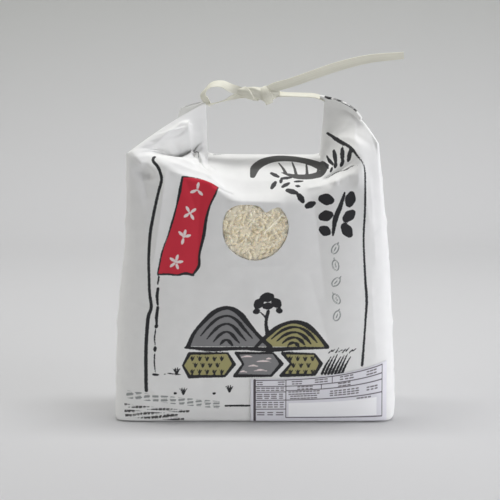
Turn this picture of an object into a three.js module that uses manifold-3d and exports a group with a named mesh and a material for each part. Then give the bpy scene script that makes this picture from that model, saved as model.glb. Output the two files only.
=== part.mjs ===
// A filled paper rice sack that stands on its flat base. Its mouth is rolled into a flat band,
// the two ends of the band are drawn up into horns, and a paper tape ties the horns together,
// which leaves a gap to carry the sack by. A heart-shaped clear window shows the rice.
// Millimetres, +Z up, the front faces -Y, and the origin is the middle of the base.
import * as THREE from 'three';
import * as BufferGeometryUtils from 'three/addons/utils/BufferGeometryUtils.js';
import Module from 'manifold-3d';

// Driving dimensions of the filled body: half its width to the left and right, and half its
// depth to the front and back, each against the height above the base.
const LEFT_HALF = [[0, 100.5], [3, 102.8], [14, 104.4], [55, 103.6], [92, 100.8], [128, 96.6], [165, 96.6],
  [205, 97.6]];
const RIGHT_HALF = [[0, 99.5], [4, 103], [16, 105.5], [60, 103.8], [107, 100.8], [152, 98], [178, 96.4],
  [208, 94]];
const FRONT_HALF = [[0, 33], [4, 35], [20, 36.5], [60, 37.6], [110, 38.5], [150, 38.5], [172, 37], [205, 30]];
const BACK_HALF = [[0, 33], [4, 35], [20, 36], [60, 36.4], [110, 36.4], [150, 35], [172, 33], [205, 27]];

// Height of the folded edge where the front and the back turn over into the shoulder, against u,
// which runs from -1 at the left edge of the sheet to 1 at its right edge.
const FRONT_EDGE = [[-1, 199], [-0.82, 196.5], [-0.66, 188], [-0.55, 182.5], [-0.35, 179], [-0.21, 172.5],
  [0, 171], [0.35, 173], [0.52, 175.5], [0.66, 180], [0.78, 187], [0.88, 197], [1, 206]];
const BACK_EDGE = [[-1, 195], [-0.6, 184], [-0.3, 174], [0.3, 173], [0.6, 184], [1, 202]];

// Radius of the turn along the front edge: a sharp crease at the left, soft over the rice.
const FRONT_TURN = [[-1, 3], [-0.3, 3], [-0.12, 9], [0.1, 17], [0.45, 14], [0.65, 6], [0.85, 8], [1, 12]];
const BACK_TURN = 8;

// The gusset's folded edge sags a little between the front and the back.
const GUSSET_SAG = 5;

// Corners of the crest where the rolled band bends, and the tips of the two horns.
const CREST_LEFT = new THREE.Vector3(-35, 10, 194);
const CREST_RIGHT = new THREE.Vector3(49, 10, 193.5);
const TIP_LEFT = new THREE.Vector3(-36, 4, 233);
const TIP_RIGHT = new THREE.Vector3(51.5, 3, 234);
const SHEET_HALF = 93;
const CREST_BEND = 5;
const CREST_THICK = 1.2;

// Rolled band: width of the flat roll, its thickness and how far it stands behind the crest.
const BAND_WIDTH = 23;
const BAND_THICK = 5;
const BAND_BACK = 2.6;
const BAND_SECTION = [[0, -0.6], [0.03, -1], [0.5, -1.1], [0.97, -1], [1, -0.6],
  [1, 0.6], [0.97, 1], [0.5, 1.1], [0.03, 1], [0, 0.6]];

// Directions of the band's width, outward of its bends, at the left horn, the crest and the right horn.
const OUT_LEFT = new THREE.Vector3(-1, 0.05, -0.28).normalize();
const OUT_CREST = new THREE.Vector3(0, 0.62, -0.785).normalize();
const OUT_RIGHT = new THREE.Vector3(1, 0.02, -0.42).normalize();

// Section of the body: how square its corners are against the height, and where the sheet's edge is.
const CORNER_POWER = [[0, 9], [7, 6.6], [22, 5.2], [50, 4.5], [90, 4.3], [190, 7]];
const EDGE_SHARE = 0.93;
const GUSSET_FOLD = 17;
const FOLD_START = 105;
const FOLD_FULL = 205;
const SHOULDER_BULGE = 4.5;
const BULGE_MIDDLE = 0.08;
const BULGE_SPREAD = 0.42;

// How far the outer part of each horn swells past the straight line from its corner to its tip.
const LEFT_BOW = 1.5;
const RIGHT_BOW = 6.5;

// Numbers of columns round the sack and of rows up its body and its shoulder.
const FRONT_COLUMNS = 40;
const BACK_COLUMNS = 20;
const GUSSET_COLUMNS = 7;
const BODY_ROWS = [0, 0.012, 0.035, 0.09, 0.17, 0.26, 0.35, 0.44, 0.53, 0.62, 0.71, 0.79, 0.86, 0.91, 0.955,
  0.985, 1];
const TOP_ROWS = [0.05, 0.12, 0.22, 0.34, 0.47, 0.6, 0.74, 0.88, 1];

// Creases of the sheet: each runs between two points given as millimetres across and up the
// flat sheet, with its depth outward and its half width.
const CREASES = [
  { name: 'valley under the left horn', from: [-74, 199], to: [-54, 222], depth: -6, reach: 13 },
  { name: 'ridge along the left horn', from: [-84, 206], to: [-82, 240], depth: 3.5, reach: 11 },
  { name: 'swell of the right horn', from: [86, 214], to: [80, 240], depth: 3.5, reach: 16 },
  { name: 'facet edge beside the left corner', from: [-68, 196], to: [-33, 188], depth: 2.5, reach: 11 },
  { name: 'left corner dent', from: [-84, 184], to: [-80, 168], depth: -3.2, reach: 12 },
  { name: 'soft ridge under the frame line', from: [-66, 184], to: [-76, 120], depth: 1.6, reach: 13 },
  { name: 'valley beside the right horn', from: [54, 184], to: [74, 193], depth: -5, reach: 10 },
  { name: 'fold across the right horn', from: [58, 232], to: [82, 206], depth: 3.2, reach: 13 },
  { name: 'hollow beside the right horn', from: [60, 203], to: [66, 216], depth: -3, reach: 11 },
  { name: 'crease at the right shoulder', from: [80, 190], to: [84, 150], depth: 2, reach: 12 },
  { name: 'hollow left of the window', from: [-40, 172], to: [-44, 112], depth: -1.2, reach: 18 },
  { name: 'hollow right of the window', from: [44, 164], to: [50, 96], depth: -1.2, reach: 20 },
  { name: 'dent at the lower left', from: [-96, 30], to: [-66, 14], depth: -1.6, reach: 12 },
  { name: 'fold at the lower left', from: [-90, 44], to: [-70, 22], depth: 1.4, reach: 9 },
];

// Window: its centre, its radius against the angle in degrees, as a plump heart with the notch
// at the upper right, and the depths of the layers behind it.
const WINDOW_X = 0.5;
const WINDOW_Z = 143;
const WINDOW_REACH = 26;
const WINDOW_OUTLINE = [[-180, 23.6], [-150, 22.6], [-120, 21.4], [-90, 21], [-60, 20.9], [-30, 21.8],
  [0, 23.6], [22, 24.8], [38, 24.8], [47, 24.2], [54, 20], [61, 15.9], [70, 16.5], [82, 18.4], [96, 19.4],
  [112, 21], [128, 23.6], [142, 25], [160, 24.5], [180, 23.6]];
const FILM_TOP = 0.35;
const FILM_THICK = 0.35;
const RICE_TOP = 3.1;
const RECESS_DEEP = 7.5;
const CUT_FRONT = 6;
const WINDOW_SPOKES = 72;
const GAP = 0.3;

// Rice: size of one grain, the step between grains, how far they stray from it and how they tip.
const GRAIN_LONG = 5.1;
const GRAIN_WIDE = 2.8;
const GRAIN_THICK = 2.1;
const GRAIN_STEP = 4.5;
const GRAIN_STRAY = 0.9;
const GRAIN_TIP = 0.35;
const GRAIN_DIP = 0.4;
const GRAIN_OVER = 0.8;
const GRAIN_SEED = 41;

// Label: its extent across and up the sheet, with a top edge that rises round the corner.
const LABEL_LEFT = -3;
const LABEL_RIGHT = 96;
const LABEL_LOW = 3;
const LABEL_HIGH = 33.5;
const LABEL_RISE = 9;
const LABEL_BEND = 62;
const LABEL_THICK = 0.35;
const LABEL_SKIN = 0.4;
const LABEL_BACK = 8;
const LABEL_REACH = 60;

// Tie: width and thickness of the paper tape, and the knot's middle.
const TAPE_WIDE = 7;
const TAPE_THICK = 1;
const TIE_CLEAR = 0.4;
const KNOT = new THREE.Vector3(2.5, 2, 238.8);

// Corners closer together than this are one corner, looked for in a cell and its neighbours.
const WELD = 0.01;
const NEIGHBOURS = [-1, 0, 1].flatMap((x) => [-1, 0, 1].flatMap((y) => [-1, 0, 1].map((z) => [x, y, z])));

const wasm = await Module();
wasm.setup();

function blend(a, b, t) {
  return a + (b - a) * t;
}

// Smooth curve through the rows of a profile, flat beyond its two ends.
function profile(rows, at) {
  const last = rows.length - 1;
  if (at <= rows[0][0]) return rows[0][1];
  if (at >= rows[last][0]) return rows[last][1];
  let i = 0;
  while (at > rows[i + 1][0]) i += 1;
  const slope = (k) => {
    const a = Math.max(k - 1, 0);
    const b = Math.min(k + 1, last);
    return (rows[b][1] - rows[a][1]) / (rows[b][0] - rows[a][0]);
  };
  const step = rows[i + 1][0] - rows[i][0];
  const t = (at - rows[i][0]) / step;
  const eased = t * t * (3 - 2 * t);
  const bow = t * (1 - t) * ((1 - t) * slope(i) - t * slope(i + 1)) * step;
  return blend(rows[i][1], rows[i + 1][1], eased) + bow;
}

// Point of the body's front or back sheet at u across and z up.
function bodySheet(u, z, half, sign) {
  const p = EDGE_SHARE * u;
  const width = profile(u < 0 ? LEFT_HALF : RIGHT_HALF, z);
  const power = profile(CORNER_POWER, z);
  const y = sign * profile(half, z) * (1 - Math.abs(p) ** power) ** (1 / power);
  return new THREE.Vector3(p * width, y, z);
}

// Point of the body's side gusset: w runs from -1 at the front fold to 1 at the back fold.
function bodyGusset(side, w, z) {
  const power = profile(CORNER_POWER, z);
  const q = w * (1 - EDGE_SHARE ** power) ** (1 / power);
  const width = profile(side < 0 ? LEFT_HALF : RIGHT_HALF, z);
  const half = profile(w < 0 ? FRONT_HALF : BACK_HALF, z);
  const fold = GUSSET_FOLD * THREE.MathUtils.smoothstep(z, FOLD_START, FOLD_FULL) ** 1.3 * (1 - Math.abs(w));
  const x = width * (1 - Math.abs(q) ** power) ** (1 / power) - fold;
  return new THREE.Vector3(side * x, q * half, z);
}

// Crest line that the sheet ends on: up the left horn's inner edge, along the middle and up the right.
function crest(u) {
  const left = CREST_LEFT.x / SHEET_HALF;
  const right = CREST_RIGHT.x / SHEET_HALF;
  if (u < left) return CREST_LEFT.clone().lerp(TIP_LEFT, (left - u) / (left + 1));
  if (u > right) return CREST_RIGHT.clone().lerp(TIP_RIGHT, (u - right) / (1 - right));
  return CREST_LEFT.clone().lerp(CREST_RIGHT, (u - left) / (right - left));
}

// Outward relief of the creases at a point of the flat sheet.
function relief(x, h) {
  let sum = 0;
  for (const { from, to, depth, reach } of CREASES) {
    const [ax, ah] = from;
    const [bx, bh] = [to[0] - ax, to[1] - ah];
    const t = THREE.MathUtils.clamp(((x - ax) * bx + (h - ah) * bh) / (bx * bx + bh * bh), 0, 1);
    const away = Math.hypot(x - ax - t * bx, h - ah - t * bh) / reach;
    if (away < 1) sum += depth * (1 - away) ** 2;
  }
  return sum;
}

// How far past the folded edge a point lies once the turn is rounded with the given radius.
function pastTurn(d, radius) {
  return Math.abs(d) < radius ? (d + radius) ** 2 / (4 * radius) : Math.max(d, 0);
}

// How much a column of the sheet belongs to a horn.
function hornShare(u) {
  return THREE.MathUtils.smoothstep(Math.abs(u), 0.5, 1);
}

// Lifts a point of a horn by its share of the swell, at a share of the way from corner to tip.
function bow(point, side, share, weight) {
  const lift = (side < 0 ? LEFT_BOW : RIGHT_BOW) * Math.sin(Math.PI * share) * weight;
  point.x += 0.45 * side * lift;
  point.z += 0.9 * lift;
  return point;
}

// Point of the front sheet. Row -1 to 0 is the body and 0 to 1 the shoulder up to the crest.
function frontPoint(u, row) {
  const edge = profile(FRONT_EDGE, u);
  const low = bodySheet(u, edge, FRONT_HALF, -1);
  const rise = crest(u).sub(low);
  rise.y -= CREST_THICK / 2;
  const long = rise.length();
  const d = row < 0 ? row * edge : row * long;
  const up = pastTurn(d, profile(FRONT_TURN, u));
  const point = bodySheet(u, edge + d - up, FRONT_HALF, -1).addScaledVector(rise, up / long);
  const share = up / long;
  const fade = (1 - u ** 8) * (1 - share ** 6);
  const out = relief(SHEET_HALF * u, edge + d) * fade;
  const middle = Math.exp(-(((u - BULGE_MIDDLE) / BULGE_SPREAD) ** 2));
  const swell = SHOULDER_BULGE * Math.sin(Math.PI * share) * middle;
  const turn = Math.min(share * 3, 1);
  point.y -= blend(out, out * 0.55 + swell * 0.4, turn);
  point.z += turn * (out * 0.6 + swell * 0.9);
  return bow(point, Math.sign(u), share, hornShare(u));
}

// Point of the back sheet, plainer than the front, which the rolled band lies against.
function backPoint(u, row) {
  const edge = profile(BACK_EDGE, u);
  const low = bodySheet(u, edge, BACK_HALF, 1);
  const rise = crest(u).sub(low);
  rise.y += CREST_THICK / 2;
  const long = rise.length();
  const d = row < 0 ? row * edge : row * long;
  const up = pastTurn(d, BACK_TURN);
  const point = bodySheet(u, edge + d - up, BACK_HALF, 1).addScaledVector(rise, up / long);
  return bow(point, Math.sign(u), up / long, hornShare(u));
}

// Point of a side gusset, which narrows to the horn's tip above the folded edge.
function gussetPoint(side, w, row) {
  const front = profile(FRONT_EDGE, side);
  const back = profile(BACK_EDGE, side);
  const edge = blend(front, back, (w + 1) / 2) - GUSSET_SAG * (1 - w * w);
  if (row < 0) return bodyGusset(side, w, (1 + row) * edge);
  const tip = (side < 0 ? TIP_LEFT : TIP_RIGHT).clone();
  tip.x += (side * CREST_THICK * (1 - w * w)) / 2;
  tip.y += (w * CREST_THICK) / 2;
  return bow(bodyGusset(side, w, edge).lerp(tip, row), side, row, 1);
}

// Where column i of a row of columns lies from -1 to 1, closer together towards both ends.
function sheetColumn(i) {
  const t = blend(-1, 1, i / FRONT_COLUMNS);
  return (t * (5 - t * t)) / 4;
}

function gussetColumn(i) {
  return Math.sin((Math.PI / 2) * blend(-1, 1, i / (GUSSET_COLUMNS + 1)));
}

// One closed ring round the sack, counter-clockwise seen from above.
function sackRing(row) {
  const ring = [];
  const share = FRONT_COLUMNS / BACK_COLUMNS;
  for (let i = 0; i <= FRONT_COLUMNS; i += 1) ring.push(frontPoint(sheetColumn(i), row));
  for (let i = 1; i <= GUSSET_COLUMNS; i += 1) ring.push(gussetPoint(1, gussetColumn(i), row));
  for (let i = BACK_COLUMNS; i >= 0; i -= 1) ring.push(backPoint(sheetColumn(i * share), row));
  for (let i = GUSSET_COLUMNS; i >= 1; i -= 1) ring.push(gussetPoint(-1, gussetColumn(i), row));
  return ring;
}

// Triangles of the wall between rings of equal length, counter-clockwise about their travel.
function wall(rings) {
  const count = rings[0].length;
  const index = [];
  for (let r = 0; r + 1 < rings.length; r += 1) {
    for (let i = 0; i < count; i += 1) {
      const a = r * count + i;
      const b = r * count + ((i + 1) % count);
      index.push(a, b, b + count, a, b + count, a + count);
    }
  }
  return index;
}

// Joins rings of equal length into a closed body with a flat cap at both ends.
function loft(rings) {
  const index = wall(rings);
  const last = (rings.length - 1) * rings[0].length;
  for (const [a, b, c] of capFaces(rings[0])) index.push(a, c, b);
  for (const [a, b, c] of capFaces(rings.at(-1))) index.push(last + a, last + b, last + c);
  return indexed(rings.flat().flatMap((p) => p.toArray()), index);
}

// Triangles of a flat ring, counter-clockwise about the direction of travel.
function capFaces(ring) {
  const normal = ringNormal(ring);
  const across = new THREE.Vector3().subVectors(ring[1], ring[0]).normalize();
  const up = new THREE.Vector3().crossVectors(normal, across).normalize();
  const flat = ring.map((p) => new THREE.Vector2(p.dot(across), p.dot(up)));
  return THREE.ShapeUtils.triangulateShape(flat, []);
}

// Newell normal of a ring.
function ringNormal(ring) {
  const sum = new THREE.Vector3();
  ring.forEach((p, i) => sum.add(new THREE.Vector3().crossVectors(p, ring[(i + 1) % ring.length])));
  return sum.normalize();
}

function indexed(positions, index) {
  const geometry = new THREE.BufferGeometry();
  geometry.setAttribute('position', new THREE.Float32BufferAttribute(positions, 3));
  geometry.setIndex(index);
  return geometry;
}

// Body of the sack: rings from the base to the crest. The top is closed column by column,
// because the last ring is as thin as the folded paper, and the base is one flat polygon.
function sackShell() {
  const rows = [...BODY_ROWS.map((s) => s - 1), ...TOP_ROWS];
  const rings = rows.map(sackRing);
  const index = wall(rings);
  const last = (rings.length - 1) * rings[0].length;
  for (const [a, b, c] of capFaces(rings[0])) index.push(a, c, b);
  for (const [a, b, c] of crestFaces()) index.push(last + a, last + b, last + c);
  return indexed(rings.flat().flatMap((p) => p.toArray()), index);
}

// Faces that close the thin top ring: fans over each gusset and a strip between front and back.
function crestFaces() {
  const faces = [];
  const back = FRONT_COLUMNS + GUSSET_COLUMNS + 1;
  for (let i = 1; i <= GUSSET_COLUMNS; i += 1) {
    faces.push([FRONT_COLUMNS, FRONT_COLUMNS + i, FRONT_COLUMNS + i + 1]);
    faces.push([0, back + BACK_COLUMNS + i - 1, back + BACK_COLUMNS + i]);
  }
  const share = FRONT_COLUMNS / BACK_COLUMNS;
  for (let k = 0; k < BACK_COLUMNS; k += 1) {
    const b = back + k;
    const f = FRONT_COLUMNS - share * k;
    faces.push([f, b, b + 1]);
    for (let j = 0; j < share; j += 1) faces.push([f - j, b + 1, f - j - 1]);
  }
  return faces;
}

// Rolled band: a flat strip that follows the crest behind the sheet and lies outward of its bends.
function bandShape() {
  const stations = bandStations();
  const place = ({ at, out, thick }, [a, b]) =>
    at.clone().addScaledVector(out, a * BAND_WIDTH).addScaledVector(thick, (b * BAND_THICK) / 2);
  return loft(stations.map((station) => BAND_SECTION.map((corner) => place(station, corner))));
}

// Places along the band with the directions of its width and thickness: down the left horn,
// round a bend, along the crest, round the other bend and up the right horn.
function bandStations() {
  const down = new THREE.Vector3().subVectors(CREST_LEFT, TIP_LEFT).normalize();
  const across = new THREE.Vector3().subVectors(CREST_RIGHT, CREST_LEFT).normalize();
  const up = new THREE.Vector3().subVectors(TIP_RIGHT, CREST_RIGHT).normalize();
  const ends = (a, b) => CREST_BEND / a.distanceTo(b);
  const inner = ends(CREST_LEFT, CREST_RIGHT);
  const topLeft = CREST_LEFT.clone().add(new THREE.Vector3(1, 0, 1));
  const topRight = CREST_RIGHT.clone().add(new THREE.Vector3(-1, 0, 1));
  return [
    ...bandLeg(TIP_LEFT, CREST_LEFT, OUT_LEFT, 5, -0.02, 1 - ends(TIP_LEFT, CREST_LEFT)),
    ...bandBend(topLeft, OUT_LEFT, OUT_CREST, down, across, 5),
    ...bandLeg(CREST_LEFT, CREST_RIGHT, OUT_CREST, 8, inner, 1 - inner),
    ...bandBend(topRight, OUT_CREST, OUT_RIGHT, across, up, 5),
    ...bandLeg(CREST_RIGHT, TIP_RIGHT, OUT_RIGHT, 5, ends(CREST_RIGHT, TIP_RIGHT), 1.02),
  ];
}

function bandStation(at, out, along) {
  const thick = new THREE.Vector3().crossVectors(along, out).normalize();
  return { at: at.clone().add(new THREE.Vector3(0, BAND_BACK, 0)), out, thick };
}

// Straight stretch of the band between two shares of the way from one point to another.
function bandLeg(from, to, out, steps, start, end) {
  const along = new THREE.Vector3().subVectors(to, from).normalize();
  const place = (i) => from.clone().lerp(to, blend(start, end, i / steps));
  return Array.from({ length: steps + 1 }, (_, i) => bandStation(place(i), out, along));
}

// Bend of the band about one point, where its width and its run both turn.
function bandBend(corner, outA, outB, alongA, alongB, steps) {
  return Array.from({ length: steps - 1 }, (_, i) => {
    const t = (i + 1) / steps;
    const out = outA.clone().lerp(outB, t).normalize();
    return bandStation(corner, out, alongA.clone().lerp(alongB, t).normalize());
  });
}

// Turns a geometry into a solid, and a solid back into a geometry.
function solid(geometry) {
  const clean = geometry.clone();
  clean.deleteAttribute('normal');
  clean.deleteAttribute('uv');
  const merged = BufferGeometryUtils.mergeVertices(clean, 1e-5);
  const mesh = new wasm.Mesh({
    numProp: 3,
    vertProperties: new Float32Array(merged.attributes.position.array),
    triVerts: new Uint32Array(merged.index.array),
  });
  return new wasm.Manifold(mesh);
}

// Geometry of a solid, with corners closer than WELD made one and the faces that vanish dropped.
function geometryOf(manifold) {
  const mesh = manifold.getMesh();
  const cells = new Map();
  const key = (p, dx, dy, dz) => [p.x / WELD + dx, p.y / WELD + dy, p.z / WELD + dz].map(Math.floor).join();
  const kept = [];
  const owner = [];
  for (let k = 0; k < mesh.vertProperties.length; k += 3) {
    const p = new THREE.Vector3().fromArray(mesh.vertProperties, k);
    const near = NEIGHBOURS.map(([dx, dy, dz]) => cells.get(key(p, dx, dy, dz)));
    let found = near.find((other) => other !== undefined && kept[other].distanceTo(p) < WELD);
    if (found === undefined) {
      found = kept.push(p) - 1;
      cells.set(key(p, 0, 0, 0), found);
    }
    owner.push(found);
  }
  const faces = new Map();
  for (let t = 0; t < mesh.triVerts.length; t += 3) {
    const face = [0, 1, 2].map((j) => owner[mesh.triVerts[t + j]]);
    if (new Set(face).size < 3) continue;
    const name = [...face].sort((a, b) => a - b).join();
    if (faces.has(name)) faces.delete(name);
    else faces.set(name, face);
  }
  return indexed(kept.flatMap((p) => p.toArray()), [...faces.values()].flat());
}

// Outline of the window as a polar radius about its centre.
function windowRadius(angle) {
  const degrees = THREE.MathUtils.radToDeg(Math.atan2(Math.sin(angle), Math.cos(angle)));
  return profile(WINDOW_OUTLINE, degrees);
}

// Point of the front face at x and z, and how far in it lies.
function frontAt(x, z, inward) {
  const p = Math.abs(x) / profile(x < 0 ? LEFT_HALF : RIGHT_HALF, z);
  const power = profile(CORNER_POWER, z);
  const y = -profile(FRONT_HALF, z) * (1 - p ** power) ** (1 / power);
  const across = (x / profile(x < 0 ? LEFT_HALF : RIGHT_HALF, z) / EDGE_SHARE) * SHEET_HALF;
  return new THREE.Vector3(x, y - relief(across, z) + inward, z);
}

// Slab with the window's outline that follows the front face between two depths.
function windowSlab(grow, near, far, circles, spokes) {
  const positions = [];
  const index = [];
  for (const depth of [near, far]) {
    for (let c = 0; c <= circles; c += 1) {
      for (let s = 0; s < (c === 0 ? 1 : spokes); s += 1) {
        const angle = (2 * Math.PI * s) / spokes;
        const radius = ((windowRadius(angle) + grow) * c) / circles;
        const x = WINDOW_X + radius * Math.cos(angle);
        const z = WINDOW_Z + radius * Math.sin(angle);
        positions.push(...frontAt(x, z, depth).toArray());
      }
    }
  }
  const per = 1 + circles * spokes;
  const id = (layer, c, s) => layer * per + (c === 0 ? 0 : 1 + (c - 1) * spokes + (s % spokes));
  const quad = (a, b, c, d) => index.push(a, b, c, a, c, d);
  for (let s = 0; s < spokes; s += 1) {
    index.push(id(0, 0, 0), id(0, 1, s), id(0, 1, s + 1));
    index.push(id(1, 0, 0), id(1, 1, s + 1), id(1, 1, s));
    for (let c = 1; c < circles; c += 1) {
      quad(id(0, c, s), id(0, c + 1, s), id(0, c + 1, s + 1), id(0, c, s + 1));
      quad(id(1, c, s), id(1, c, s + 1), id(1, c + 1, s + 1), id(1, c + 1, s));
    }
    quad(id(0, circles, s), id(1, circles, s), id(1, circles, s + 1), id(0, circles, s + 1));
  }
  return indexed(positions, index);
}

// One rice grain: a squashed spheroid with few sides that lies flat against the film.
function grain(random) {
  const geometry = new THREE.SphereGeometry(0.5, 6, 3);
  const size = blend(0.9, 1.08, random());
  geometry.scale(GRAIN_WIDE * size, GRAIN_LONG * size * blend(0.88, 1.05, random()), GRAIN_THICK * size);
  geometry.rotateZ(Math.PI / 2);
  geometry.rotateX(Math.PI / 2);
  return geometry;
}

// Heap of rice behind the film: a plain core with the outermost grains fused on, cut off at
// the edge of the window, under which the real grains carry on.
function riceHeap() {
  const random = seeded(GRAIN_SEED);
  let heap = solid(windowSlab(GAP, RICE_TOP, RECESS_DEEP - GAP, 1, 24));
  const reach = Math.ceil(WINDOW_REACH / GRAIN_STEP);
  const either = (most) => blend(-most, most, random());
  for (let i = -reach; i <= reach; i += 1) {
    for (let k = -reach; k <= reach; k += 1) {
      const dx = (i + (k % 2) / 2) * GRAIN_STEP + either(GRAIN_STRAY);
      const dz = k * GRAIN_STEP * Math.sin(Math.PI / 3) + either(GRAIN_STRAY);
      const shape = grain(random);
      shape.rotateY(random() * Math.PI);
      shape.rotateX(either(GRAIN_TIP));
      const at = frontAt(WINDOW_X + dx, WINDOW_Z + dz, RICE_TOP + either(GRAIN_DIP));
      shape.translate(at.x, at.y, at.z);
      const inside = Math.hypot(dx, dz) < windowRadius(Math.atan2(dz, dx)) + GRAIN_OVER;
      if (inside) heap = heap.add(solid(shape));
    }
  }
  const room = windowSlab(-GAP, FILM_TOP + FILM_THICK + GAP, RECESS_DEEP - GAP, 1, WINDOW_SPOKES);
  return heap.intersect(solid(room));
}

// Repeatable random numbers from 0 to 1.
function seeded(seed) {
  let state = seed;
  return () => {
    state = (state * 1664525 + 1013904223) % 4294967296;
    return state / 4294967296;
  };
}

// Flat tape swept along a smooth curve. Each stop is a point, a width and the width's direction.
function tape(stops, steps) {
  const path = new THREE.CatmullRomCurve3(stops.map((s) => new THREE.Vector3(...s.at)), false, 'centripetal');
  const rings = [];
  for (let i = 0; i <= steps; i += 1) {
    const t = i / steps;
    const at = path.getPoint(t);
    const along = path.getTangent(t);
    const k = Math.min(Math.floor(t * (stops.length - 1)), stops.length - 2);
    const f = t * (stops.length - 1) - k;
    const wide = new THREE.Vector3(...stops[k].wide).normalize();
    wide.lerp(new THREE.Vector3(...stops[k + 1].wide).normalize(), f);
    wide.addScaledVector(along, -wide.dot(along)).normalize();
    const thick = new THREE.Vector3().crossVectors(along, wide).normalize();
    const half = blend(stops[k].width, stops[k + 1].width, f) / 2;
    const thin = blend(stops[k].thick ?? TAPE_THICK, stops[k + 1].thick ?? TAPE_THICK, f) / 2;
    const ring = [[-1, -1], [1, -1], [1, 1], [-1, 1]].map(([a, b]) =>
      at.clone().addScaledVector(wide, a * half).addScaledVector(thick, b * thin));
    rings.push(ring);
  }
  return solid(loft(rings));
}

// Tie: strands from both horn tips, a loop at the left, the knot and a long free end.
function tieShape() {
  const upright = [0, -0.25, 1];
  const parts = [];
  parts.push(tape([
    { at: [-34.6, 3.5, 231.2], width: 5, wide: [0.5, -0.6, 0.4] },
    { at: [-24, 2.5, 234], width: 3, wide: [0, -1, 0.2] },
    { at: [-14, 2, 237.5], width: 4, wide: upright },
    { at: [-6, 2, 239], width: 5, wide: upright },
  ], 10));
  parts.push(tape([
    { at: [-34.2, 3.5, 231.5], width: 5, wide: [0.7, -0.5, 0.2] },
    { at: [-37.5, 1, 238.5], width: TAPE_WIDE, wide: [0.5, -0.7, 0.4] },
    { at: [-33, -1, 245.3], width: TAPE_WIDE, wide: [0.1, -1, 0.25] },
    { at: [-24.5, -1, 246.6], width: TAPE_WIDE, wide: [0, -1, 0.35] },
    { at: [-16.5, 0.5, 243.2], width: 6.5, wide: [0, -0.6, 0.8] },
    { at: [-8, 1.5, 240.5], width: 6, wide: upright },
  ], 22));
  parts.push(tape([
    { at: [12, 2, 240], width: 5, wide: upright },
    { at: [22, 2, 238.6], width: 3, wide: [0, -0.8, 0.6] },
    { at: [34, 2, 237], width: 2.4, wide: [0, -1, 0.3], thick: 1.6 },
    { at: [44, 2.2, 235.6], width: 3, wide: [0, -1, 0.2], thick: 1.6 },
    { at: [49.8, 2.8, 232.8], width: 4, wide: [-0.2, -1, 0.2], thick: 1.4 },
  ], 14));
  parts.push(tape([
    { at: [8, 1, 241], width: 6, wide: upright },
    { at: [15, 0, 244.5], width: TAPE_WIDE, wide: upright },
    { at: [26, -1, 247.6], width: TAPE_WIDE, wide: upright },
    { at: [42, -2, 253.2], width: TAPE_WIDE, wide: upright },
    { at: [62, -3, 260], width: TAPE_WIDE, wide: upright },
    { at: [84, -4, 265.2], width: TAPE_WIDE * 0.9, wide: upright },
    { at: [108.5, -5, 267.6], width: TAPE_WIDE * 0.75, wide: [0, -0.3, 1] },
  ], 26));
  let tie = knotShape();
  for (const part of parts) tie = tie.add(part);
  const band = solid(grown(bandShape(), TIE_CLEAR));
  const horns = solid(grown(sackShell(), TIE_CLEAR));
  return tie.subtract(band).subtract(horns);
}

// Knot: the tape's flattened turns, a tight wrap round them and the lump behind it.
function knotShape() {
  const lump = (x, y, z, rx, ry, rz, turn) => {
    const geometry = new THREE.SphereGeometry(1, 12, 8);
    geometry.scale(rx, ry, rz);
    geometry.rotateY(turn);
    geometry.translate(KNOT.x + x, KNOT.y + y, KNOT.z + z);
    return solid(geometry);
  };
  const turns = lump(-4, 0, 0.8, 12.5, 4.6, 4.3, 0.04);
  const wrap = lump(6.4, 0, -0.4, 4.2, 5.4, 6.2, -0.25);
  const end = lump(11.8, 0, 1.6, 5.2, 3.6, 3.4, 0.1);
  return turns.add(wrap).add(end);
}

// Moves every corner of a closed body outward along its smooth normal.
function grown(geometry, distance) {
  geometry.computeVertexNormals();
  const { position, normal } = geometry.attributes;
  for (let i = 0; i < position.count; i += 1) {
    const at = new THREE.Vector3().fromBufferAttribute(position, i);
    at.addScaledVector(new THREE.Vector3().fromBufferAttribute(normal, i), distance);
    position.setXYZ(i, at.x, at.y, at.z);
  }
  return geometry;
}

// Label: a thin slip, cut from two skins round the lower body, that wraps the right-hand corner.
function labelShape() {
  const rings = BODY_ROWS.filter((s) => s < LABEL_SKIN).map((s) => sackRing(s - 1));
  const outer = solid(grown(loft(rings), GAP + LABEL_THICK));
  const inner = solid(grown(loft(rings), GAP));
  const outline = new THREE.Shape();
  outline.moveTo(LABEL_LEFT, LABEL_LOW);
  outline.lineTo(LABEL_RIGHT, LABEL_LOW);
  outline.lineTo(LABEL_RIGHT, LABEL_HIGH + LABEL_RISE);
  outline.quadraticCurveTo(LABEL_BEND, LABEL_HIGH, LABEL_LEFT, LABEL_HIGH);
  const reach = { depth: LABEL_REACH, bevelEnabled: false, curveSegments: 8 };
  const block = new THREE.ExtrudeGeometry(outline, reach);
  block.rotateX(Math.PI / 2);
  block.translate(0, -LABEL_BACK, 0);
  return geometryOf(outer.subtract(inner).intersect(solid(block)));
}

function named(name, geometry, color, roughness, opacity = 1) {
  const material = new THREE.MeshStandardMaterial({ color, roughness, metalness: 0 });
  material.transparent = opacity < 1;
  material.opacity = opacity;
  geometry.computeVertexNormals();
  const mesh = new THREE.Mesh(geometry, material);
  mesh.name = name;
  return mesh;
}

const recess = solid(windowSlab(0, -CUT_FRONT, RECESS_DEEP, 1, WINDOW_SPOKES));
const sack = solid(sackShell()).add(solid(bandShape())).subtract(recess);
const film = windowSlab(-GAP, FILM_TOP, FILM_TOP + FILM_THICK, 2, WINDOW_SPOKES);

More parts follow.
